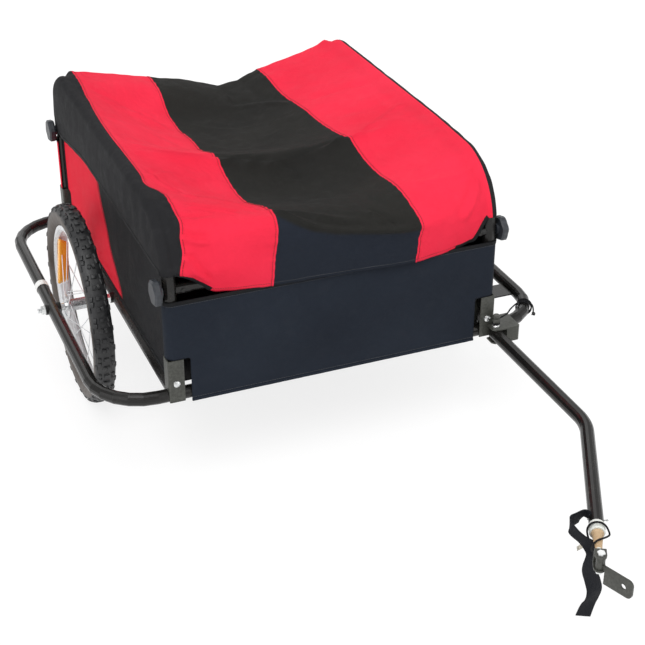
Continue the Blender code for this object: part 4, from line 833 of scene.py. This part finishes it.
def cover_grid():
    """Points of the whole cover, the columns of its seams and the run along the side line."""
    outer = side_line()
    way = unit(np.gradient(outer, axis=0))
    off = np.stack([-way[:, 1], way[:, 0]], axis=1)
    off[0], off[-1] = (-1, 0), (1, 0)
    run = run_of(outer)
    part_of = run / run[-1]
    sections = []
    for points in (SECTION_RIGHT, SECTION_MIDDLE, SECTION_LEFT):
        line = smooth_path(points, 1200)
        reach = run_of(line)
        sections.append(pick(line, reach, part_of * reach[-1]))
    edge = outer + WRAP_R * math.cos(math.radians(30)) * off
    sides = cover_sides(outer, off, part_of)
    ends = np.full(len(run), TOP_HALF)
    seams = np.stack([-ends, -curve(run, CROWN_SEAM), curve(run, STRIPE_RIGHT), curve(run, STRIPE_LEFT),
                      ends], axis=1)
    grid = []
    for j, cuts in enumerate(seams):
        xs = np.array([low + (high - low) * share for low, high, cut in zip(cuts, cuts[1:], CUTS)
                       for share in shares(cut, SEAM_EDGE, high - low)] + [TOP_HALF])
        knots = np.array([-TOP_HALF, cuts[2], STRIPE_MIDDLE_X, cuts[3], TOP_HALF])
        top = across_row(xs, knots, [edge[j], *(section[j] for section in sections), edge[j]])
        sky = np.interp(xs, *SKYLINE.T)
        bend = np.clip((top[:, 0] - 0.362) / 0.048, 0, 1) ** 2.2
        rear = ease(top[:, 0], 0.20, 0.335) * (1 - ease(np.abs(xs), *EDGE_ZONE))
        top[:, 1] = top[:, 1] * (1 - rear) + (sky - (sky - COVER_HEM) * bend) * rear
        row = np.vstack([sides[j] * (-1, 1, 1), np.column_stack([xs, top]), sides[j][::-1]])
        puff = 0.0022 * ease(outer[j, 0], 0.10, 0.33) * (1 - ease(row[:, 0], -0.30, -0.20))
        row[:, 2] += puff * ease(row[:, 2], COVER_HEM, 0.33)
        grid.append(row)
    columns = np.cumsum([GUSSET_CELLS + WRAP_CELLS - 1] + [cut + 4 for cut in CUTS])
    flap_parts = np.arange(1, FLAP_ROWS + 1) / FLAP_ROWS
    flaps = []
    for sy, base in ((-1, grid[0]), (1, grid[-1])):
        x, _, z = base.T
        drop = np.array([min(hem_height(a, sy), c) for a, _, c in base]) - z
        still = 1 - ease(np.abs(x), 0.262, 0.30)
        lean = 0.0036 * flap_parts if sy > 0 else 0.010 * flap_parts ** 1.5
        flaps.append([base + np.stack([0 * x, a * still, drop * part], axis=1)
                      for a, part in zip(lean, flap_parts)])
    s = np.concatenate([-FLAP_RUN * flap_parts[::-1], run, run[-1] + FLAP_RUN * flap_parts])
    return np.concatenate([flaps[0][::-1], grid, flaps[1]], axis=0), columns, s


# Creases of the cover in mm: height, half width, share of a groove beside it, then points (x, run)
CREASES = [
    (7, 8, 0.7, -299, 356, -245, 367, -183, 371, -119, 366, -69, 356, -13, 343, 50, 340, 105, 336,
     148, 326, 190, 318, 240, 307),
    (7.5, 8.5, 0.4, -128, 112, -105, 88, -88, 72, -53, 53, -12, 41, 38, 33, 97, 25, 165, 19),
    (3.6, 10, 0.5, 140, 326, 185, 340, 240, 362, 300, 392),
    (3, 9, 0.8, 20, 800, 30, 760, 22, 715),
    (2.6, 6.5, 0.8, -260, 120, -215, 118, -170, 98),
    (2.2, 8.5, 0.6, -150, 330, -185, 300, -225, 285),
    (2.2, 8, 0.5, -100, 105, -16, 68, 97, 30),
    (3, 11, 0.6, 0, 720, 45, 700, 85, 673, 131, 600),
    (3.4, 10, 0.8, -285, 690, -223, 660, -175, 620, -140, 585),
    (2.2, 7.5, 0.8, -255, 650, -184, 636, -135, 610),
    (2, 12, 0.6, -285, 560, -225, 530, -160, 470),
    (3, 6.5, 0.9, -288, 275, -263, 218, -232, 190),
    (2.6, 6, 0.9, -284, 240, -239, 293, -200, 310),
    (3, 7.5, 0.8, -275, 190, -227, 178, -187, 172, -156, 140, -135, 98),
    (3.2, 6.5, 0.9, -287, 60, -262, 48, -235, 46),
    (3.4, 6.5, 0.9, -287, 30, -268, 0, -245, -30),
    (2.2, 7, 0.8, -290, 95, -255, 84, -215, 88),
    (-3.2, 16, 0.4, 150, 590, 213, 562, 285, 520),
    (-1.8, 14, 0.3, 160, 470, 225, 440, 290, 430),
    (3.6, 9.5, 0.7, 240, 5, 278, 36, 300, 70),
    (3, 11, 0.5, 175, 110, 247, 91, 298, 88),
    (3, 6, 0.9, -50, 312, -20, 300, 20, 276),
    (2.4, 5, 0.9, -20, 336, 4, 322, 18, 300),
    (1.8, 12, 0.5, -105, 500, -40, 470, 30, 478),
    (2, 12, 0.5, -100, 640, -30, 610, 60, 590),
    (3, 6, 0.8, 60, 70, 85, 45, 100, 25),
]


def crease_lift(x, s):
    """Height that the creases add at each point of the cover, steeper on one side."""
    total = np.zeros_like(x)
    for height, width, groove, *points in CREASES:
        line = smooth_path(mm(2, *points), 60)
        width /= 1000
        best = np.full(x.shape, 9.0)
        side = np.zeros_like(x)
        share = np.zeros_like(x)
        for k, (a, step) in enumerate(zip(line, np.diff(line, axis=0))):
            t = np.clip(((x - a[0]) * step[0] + (s - a[1]) * step[1]) / (step @ step), 0, 1)
            dx = x - a[0] - t * step[0]
            ds = s - a[1] - t * step[1]
            dist = np.hypot(dx, ds)
            near = dist < best
            best[near] = dist[near]
            side[near] = np.sign(step[0] * ds - step[1] * dx)[near]
            share[near] = (k + t[near]) / (len(line) - 1)
        fade = ease(share, 0.0, 0.16) * (1 - ease(share, 0.84, 1.0))
        ridge = np.exp(-(best / (width * np.where(side < 0, 0.55, 1.2))) ** 1.15)
        dip = np.exp(-((best - 1.6 * width) / (0.9 * width)) ** 2) * (side > 0)
        total += 1.45 * height / 1000 * fade * (ridge - groove * dip)
    return total


# Edge (x, run) of the front fold, where the stripe turns down; past it the stripe gets a painted bluish tint
# that stands for the light on its front face
FOLD_X, FOLD_RUN = mm(2, -119, 82, -88, 62, -53, 45, -12, 35, 38, 28, 97, 20, 155, 15).T


def waves(x, y, scale, seed):
    """Smooth random field from a few seeded plane waves."""
    chance = random.Random(seed)
    field = np.zeros_like(x)
    for _ in range(9):
        turn = chance.uniform(0, math.pi)
        size = scale * chance.uniform(0.7, 1.6)
        phase = chance.uniform(0, 2 * math.pi)
        field += np.sin((x * math.cos(turn) + y * math.sin(turn)) * 2 * math.pi / size + phase)
    return field / 4.5


def cover():
    grid, columns, s = cover_grid()
    cloth = Cloth(grid, (0, 0, 1))
    one, two, three, four = columns[1], columns[2], columns[3], columns[4] + 2
    x = cloth.grid[..., 0]
    run = np.repeat(s[:, None], cloth.cols, axis=1)
    inside = 1 - ease(np.abs(x), *EDGE_ZONE)
    lift = crease_lift(x, run) * inside
    lift += 0.0014 * waves(x, run, 0.085, 3) * inside * ease(run, -0.02, 0.06)
    lift += 0.0006 * waves(x, run, 0.034, 8) * inside
    depth = HOOP_TOP - cloth.grid[..., 2]
    gusset = ease(np.abs(x), SIDE_X, SIDE_X + 0.008)
    puffs = waves(depth * 0.8 + 0.10 * run, run * 1.6, 0.080, 21) * np.exp(-((depth - 0.030) / 0.035) ** 2)
    fade = ease(run, 0.03, 0.08) * (1 - ease(run, 0.20, 0.36))
    lift += (0.0026 * puffs * fade + 0.0005 * waves(depth, run, 0.070, 5)) * gusset
    for c, red_side in ((one, 1), (two, -1), (three, 1)):
        away = np.abs(x - x[:, c][:, None])
        pucker = 0.0007 * np.sin(2 * math.pi * run / 0.019 + 2.2 * np.sin(run * 37))
        lift += pucker * np.exp(-away / 0.012) * inside
        lift[:, c] += 0.0004
        lift[:, c + red_side] += 0.0007
        lift[:, c + 2 * red_side] -= 0.0004
    cloth.grid += cloth.normals() * lift[..., None]
    paint = np.zeros(cloth.keep.shape, int)
    paint[:, :one] = 1
    paint[:, four:] = 1
    paint[:, two:three] = 2
    # The last argument is painted light: it tints the stripe bluish past the front fold, standing for the
    # light on its front face.
    piece = cloth.mesh("cover_cloth", [RED, SIDE_BLACK, CHARCOAL], paint, "cover", 0, True,
                       1 - ease(run - np.interp(x, FOLD_X, FOLD_RUN), -0.004, 0.004))
    normal = cloth.normals()
    tops = cloth.grid + normal * 0.0007

    def beside(at, near, distance):
        """A line at a distance from a row or column of the grid, towards a near one."""
        return tops[at] + unit(tops[near] - tops[at]) * distance, normal[at]

    def hems(*spans):
        return [beside(np.s_[row, span], np.s_[near, span], HEM_STITCH) for row, near in ((0, 3), (-1, -4))
                for span in spans]

    red = [beside(np.s_[:, c], np.s_[:, c + 3 * way], SEAM_STITCH)
           for c, way in ((one, 1), (two, -1), (three, 1))]
    red += hems(slice(one + 1, two), slice(three, four - 8))
    corner = int(np.argmin(np.abs(cloth.grid[0, :cloth.cols // 2, 0] + BOUND_X)))
    other = int(cloth.cols // 2 + np.argmin(np.abs(cloth.grid[0, cloth.cols // 2:, 0] - BOUND_X)))
    pieces = []
    for end, row, near in (("front", 0, 3), ("rear", -1, -4)):
        for label, kept in (("right", slice(0, corner)), ("left", slice(other, cloth.cols))):
            pieces.append(cloth.bind("cover_binding_" + end + "_" + label, (row, kept), (near, kept),
                                     TAPE, "cover", 0.0075, 0.0017))
    span = slice(FLAP_ROWS, -FLAP_ROWS)
    for label, col, near in (("right", 0, 2), ("left", -1, -3)):
        pieces.append(cloth.bind("cover_binding_" + label, (span, col), (span, near), TAPE, "cover",
                                 0.0080, 0.0014))
    pieces += [stitch_rows("cover_stitches_red", red, RED_THREAD, "cover"),
               stitch_rows("cover_stitches_dark", hems(slice(two, three)), DARK_THREAD, "cover")]
    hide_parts("cover")


def end_panel(end, sy, material):
    """End panel, wide above the folding corners where it turns round the posts."""
    side, front = SIDE_X + WRAP_R, END_Y + WRAP_R
    half = [(side, END_Y - back) for back in (0.008, 0.004, 0.0)]
    half += [(SIDE_X + WRAP_R * math.cos(t), END_Y + WRAP_R * math.sin(t))
             for t in (math.pi / 2 * k / 8 for k in range(1, 9))]
    half += [(x, front) for x in (0.306, 0.300, 0.292, *(PANEL_NECK_X * k / 34 for k in range(34, 0, -1)))]
    x, depth = np.array([(-a, b) for a, b in half] + [(0.0, front)] + half[::-1]).T
    z = np.concatenate([PANEL_BOTTOM + (PANEL_SHOULDER - PANEL_BOTTOM) * np.arange(12) / 12,
                        PANEL_SHOULDER + (PANEL_TOP - PANEL_SHOULDER) * np.arange(17) / 16])[:, None]
    rise = (z - PANEL_BOTTOM) / (PANEL_TOP - PANEL_BOTTOM)
    belly = ease(rise, 0.07, 0.53) * (1 - ease(rise, 0.67, 0.96)) * (1 - ease(np.abs(x), 0.10, 0.29))
    ripple = 0.0012 * np.sin(23 * x + 31 * z) * (1 - ease(np.abs(x), 0.20, 0.28))
    ripple += 0.0007 * np.sin(61 * x - 40 * z + 1.0) * (1 - ease(np.abs(x), 0.2, 0.29))
    ripple *= ease(rise, 0.12, 0.29) * (1 - ease(rise, 0.77, 0.96))
    neck = np.abs(x) <= PANEL_NECK_X + 0.001
    keep = (z[:-1] >= PANEL_SHOULDER - 0.001) | (neck[1:] & neck[:-1])
    grid = np.stack(np.broadcast_arrays(x, sy * (depth + 0.0040 * belly + ripple), z), axis=-1)
    cloth = Cloth(grid, (0, sy, 0), keep)
    piece = cloth.mesh(end + "_panel_cloth", [material], flip=sy < 0)
    normal = cloth.normals()
    inner = np.flatnonzero(neck)
    rows = [(cloth.grid[at] + normal[at] * STITCH_LIFT, normal[at]) for at in (-2, (1, inner))]
    trims = [cloth.bind(end + "_panel_binding_top", -1, -4, width=0.0055),
             cloth.bind(end + "_panel_binding_foot", (0, inner), (3, inner), material, width=0.0045),
             stitch_rows(end + "_panel_stitches", rows, DARK_THREAD, "frame")]
    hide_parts(end + "_panel")


def post_edge(z, shoulder, bend):
    """How far the side cloth reaches along a hoop's end at some height."""
    rise = max(z - (shoulder - bend), 0.0)
    return END_Y - bend + math.sqrt((bend - TUBE_R - 0.0014) ** 2 - rise * rise)


# Seam (height, y) between the black and the red cloth of a side
SPLIT = mm(2, 35.3, -54.9, 87.7, -24.2, 148.8, 11.6, 206.1, 60.9, 240.6, 89.5)
SPLIT_COLUMN = 42
SHOULDER_ROW = 9


def side_panel(side, sx):
    """Side panel between the posts, notched round the folding corners."""
    foot = RAIL_TOP + 0.001
    shoulder = PANEL_SHOULDER + CLOTH
    levels = np.concatenate([foot + (shoulder - foot) * np.arange(SHOULDER_ROW) / SHOULDER_ROW,
                             shoulder + (SIDE_TOP - shoulder) * np.arange(25) / 24])
    notch = SIDE_NOTCH_Y
    rows = []
    for z in levels:
        front = post_edge(z, HOOP_SHOULDER, FRONT_BEND)
        rear = post_edge(z, HOOP_TOP, REAR_BEND)
        split = np.interp(z, *SPLIT.T)
        rows.append([-front, -(front + notch) / 2, *(-notch + (split + notch) * k / 40 for k in range(40)),
                     *(split + (notch - split) * k / 30 for k in range(31)), (rear + notch) / 2, rear])
    y = np.array(rows)
    z = levels[:, None]
    rise = (z - foot) / (SIDE_TOP - foot)
    belly = ease(rise, 0.06, 0.45) * (1 - ease(rise, 0.60, 0.92)) * (1 - ease(np.abs(y), 0.12, 0.36))
    out = SIDE_PANEL_X + 0.0045 * belly + 0.0006 * np.sin(37 * y + 22 * z) * belly
    keep = np.ones((len(levels) - 1, y.shape[1] - 1), bool)
    keep[:SHOULDER_ROW, :2] = False
    keep[:SHOULDER_ROW, -2:] = False
    cloth = Cloth(np.stack(np.broadcast_arrays(sx * out, y, z), axis=-1), (sx, 0, 0), keep)
    paint = np.zeros(keep.shape, int)
    paint[:, SPLIT_COLUMN:] = 1
    piece = cloth.mesh("side_panel_cloth_" + side, [SIDE_BLACK, SIDE_RED], paint, flip=sx < 0)
    normal = cloth.normals()
    tops = cloth.grid + normal * STITCH_LIFT
    low = slice(2, -2)
    high = slice(SHOULDER_ROW, None)
    trims = [cloth.bind("side_binding_foot_" + side, (0, low), (3, low)),
             cloth.bind("side_binding_front_" + side, (high, 0), (high, 2), width=0.0075),
             cloth.bind("side_binding_rear_" + side, (high, -1), (high, -3), width=0.0075)]
    seam = tops[:, SPLIT_COLUMN]
    offset = unit(tops[:, SPLIT_COLUMN + 1] - seam)
    trims.append(stitch_rows("side_stitches_" + side, [(seam + offset * a, normal[:, SPLIT_COLUMN])
                                                       for a in (0.0030, 0.0075)], RED_THREAD, "frame"))
    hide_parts("side_panel_" + side)


# Wheels

TYRE_STEPS = 120
BLOCKS = 60
SPOKES = 20
SPOKE_TURN = math.radians(72)
SPOKE_HUB_R = 0.0215
SPOKE_RIM_R = 0.151
VALVE_R = 0.1475
VALVE_ANGLE = math.radians(207)
TYRE_CROWN_R = 0.1996
# Half of a tyre's section (across, radius), from its bead to its crown, and the inside of the tyre
TYRE_HALF = mm(2, 9.2, 159, 11.2, 160, 14, 164, 17.2, 168.5, 19.6, 173.5, 20.6, 179, 20.9, 184,
               20.4, 188.5, 18.8, 193, 15.5, 196.5, 10.5, 198.7, 5, 199.5)
TYRE_INSIDE = mm(2, 8, 161, 0, 160, -8, 161)


def tyre(side, sx):
    """Knobby tyre: smooth walls with ribs and three rows of blocks."""
    centre = np.array((sx * WHEEL_X, 0, 0))
    ring = np.vstack([TYRE_HALF * (-1, 1), (0.0, TYRE_CROWN_R), TYRE_HALF[::-1], TYRE_INSIDE])
    parcel = Parcel()
    parcel.put([centre + (a, r * math.sin(turn), r * math.cos(turn))
                for turn in (2 * math.pi * k / TYRE_STEPS for k in range(TYRE_STEPS)) for a, r in ring],
               ring_faces(TYRE_STEPS, len(ring), closed=True))

    def block(angle, across, radius, wide, long, high, lean=0.0, tip=0.0):
        """Tapered block on the tread: lean turns it on the tread, tip tilts it to the side wall."""
        radial = np.array((0.0, math.sin(angle), math.cos(angle)))
        along = np.array((0.0, math.cos(angle), -math.sin(angle)))
        axle = np.array((1.0, 0.0, 0.0))
        out = radial * math.cos(tip) + axle * math.sin(tip)
        sideways = axle * math.cos(tip) - radial * math.sin(tip)
        a_dir = (sideways * math.cos(lean) + along * math.sin(lean)) * wide / 2
        b_dir = (along * math.cos(lean) - sideways * math.sin(lean)) * long / 2
        base = centre + axle * across + radial * radius
        parcel.put([base + (a_dir * a + b_dir * b) * share + out * level
                    for level, share in ((-0.0012, 1.08), (high * 0.86, 0.94), (high, 0.82))
                    for a, b in ((-1, -1), (0, -1.04), (1, -1), (1.04, 0), (1, 1), (0, 1.04), (-1, 1),
                                 (-1.04, 0))], ring_faces(3, 8))

    for k in range(BLOCKS):
        angle = 2 * math.pi * k / BLOCKS
        odd = k % 2
        if odd:
            for s in (1, -1):
                block(angle, s * 0.0040, 0.1995, 0.0062, 0.0088, 0.0032, s * 0.25)
        else:
            block(angle, 0.0, 0.1998, 0.0100, 0.0070, 0.0031)
        for s in (-1, 1):
            block(angle + math.pi / BLOCKS * odd, s * 0.0130, 0.1972, 0.0068, 0.0092, 0.0030,
                  s * 0.2, s * 0.55)
            if odd:
                block(angle, s * 0.0182, 0.1925, 0.0052, 0.0105, 0.0021, 0.0, s * 1.05)
    obj = parcel.make("tyre_tread_" + side, RUBBER, "wheel_" + side)
    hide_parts("tyre_" + side)


def nipples(side, sx):
    """Spoke nipples at the rim and the valve with its cap."""
    centre = np.array((sx * WHEEL_X, 0, 0))
    parcel = Parcel()
    for i in range(SPOKES):
        flange = 1 if i % 2 else -1
        crossing = (i // 2) % 2
        at_rim = 2 * math.pi * i / SPOKES
        at_hub = at_rim + (SPOKE_TURN if crossing else -SPOKE_TURN)
        start = np.array((flange * (0.0314 if crossing else 0.0235), SPOKE_HUB_R * math.cos(at_hub),
                          SPOKE_HUB_R * math.sin(at_hub)))
        end = np.array((flange * 0.002, SPOKE_RIM_R * math.cos(at_rim), SPOKE_RIM_R * math.sin(at_rim)))
        line = unit(start - end)
        parcel.put(*lathe(centre + end - line * 0.002, line,
                          mm(2, 0, 2.1, 4.5, 2.1, 5.2, 1.7, 13.5, 1.6, 14.5, 1.1), 8))
    parcel.make("nipples_" + side, ZINC, "wheel_" + side)
    inward = -np.array((0.0, math.cos(VALVE_ANGLE), math.sin(VALVE_ANGLE)))
    stem = Parcel()
    stem.put(*lathe(centre - inward * VALVE_R, inward,
                    mm(2, -4, 4.2, 2, 4.2, 3, 3.6, 20, 3.2, 20.5, 3.8, 30, 3.8, 31.2, 3), 12))
    stem.make("valve_" + side, KNOB, "wheel_" + side)


def reflector(side):
    """Amber wedge clipped between the spokes, laid out from the solid that it stands for."""
    solid = bpy.data.objects["spoke_reflector_" + side]
    points = np.array([solid.matrix_world @ v.co for v in solid.data.vertices]) - SHIFT
    middle = (points.max(axis=0) + points.min(axis=0)) / 2
    axes = np.linalg.svd(points - points.mean(axis=0))[2]
    outward = axes[2] * (1 if axes[2, 0] * middle[0] > 0 else -1)
    reach = points @ axes.T
    length, width, depth = reach.max(axis=0) - reach.min(axis=0)
    face = (reach.max(axis=0) + reach.min(axis=0)) / 2 @ axes + outward * depth / 2
    rings = []
    for level, inset in mm(2, -21, 6.5, -19.5, 5.5, -12, 3, -5, 0.4, -3.5, 0, -1.5, 0, -0.3, 1.8, 0, 3):
        a, b = length / 2 - inset, width / 2 - inset
        corner = min(0.007, b * 0.8)
        for quarter, (sa, sb) in enumerate(((1, 1), (-1, 1), (-1, -1), (1, -1))):
            for turn in (math.pi / 2 * (quarter + k / 4) for k in range(5)):
                rings.append(face + outward * level + axes[0] * (sa * (a - corner) + corner * math.cos(turn))
                             + axes[1] * (sb * (b - corner) + corner * math.sin(turn)))
    lens = mesh_object("reflector_lens_" + side, rings, ring_faces(8, 20), LENS, "wheel_" + side)
    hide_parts("spoke_reflector_" + side)


def cone():
    """Slim ribbed rubber cone over the rod of the coupler."""
    profile = [(0.0212, 0.0050), (0.0212, 0.0102), (0.0224, 0.0106), (0.0240, 0.0098)]
    for k in range(13):
        radius = 0.0092 - 0.0036 * k / 12
        profile += [(0.0250 + 0.0026 * k, radius), (0.0263 + 0.0026 * k, radius * 0.94)]
    profile += [(0.0592, 0.0056), (0.0600, 0.0050)]
    verts, faces = lathe(ARM_END, ARM_LINE, profile, 28)
    rubber = mesh_object("cone_rubber", verts, faces, TAN, "coupler")
    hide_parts("coupler_cone")


dress_solids()
studio()
lanyard()
strap()
cone()
cover()
end_panel("front", -1, NAVY)
end_panel("rear", 1, RED)
for label, sign in (("right", -1), ("left", 1)):
    side_panel(label, sign)
    tyre(label, sign)
    nipples(label, sign)
    reflector(label)
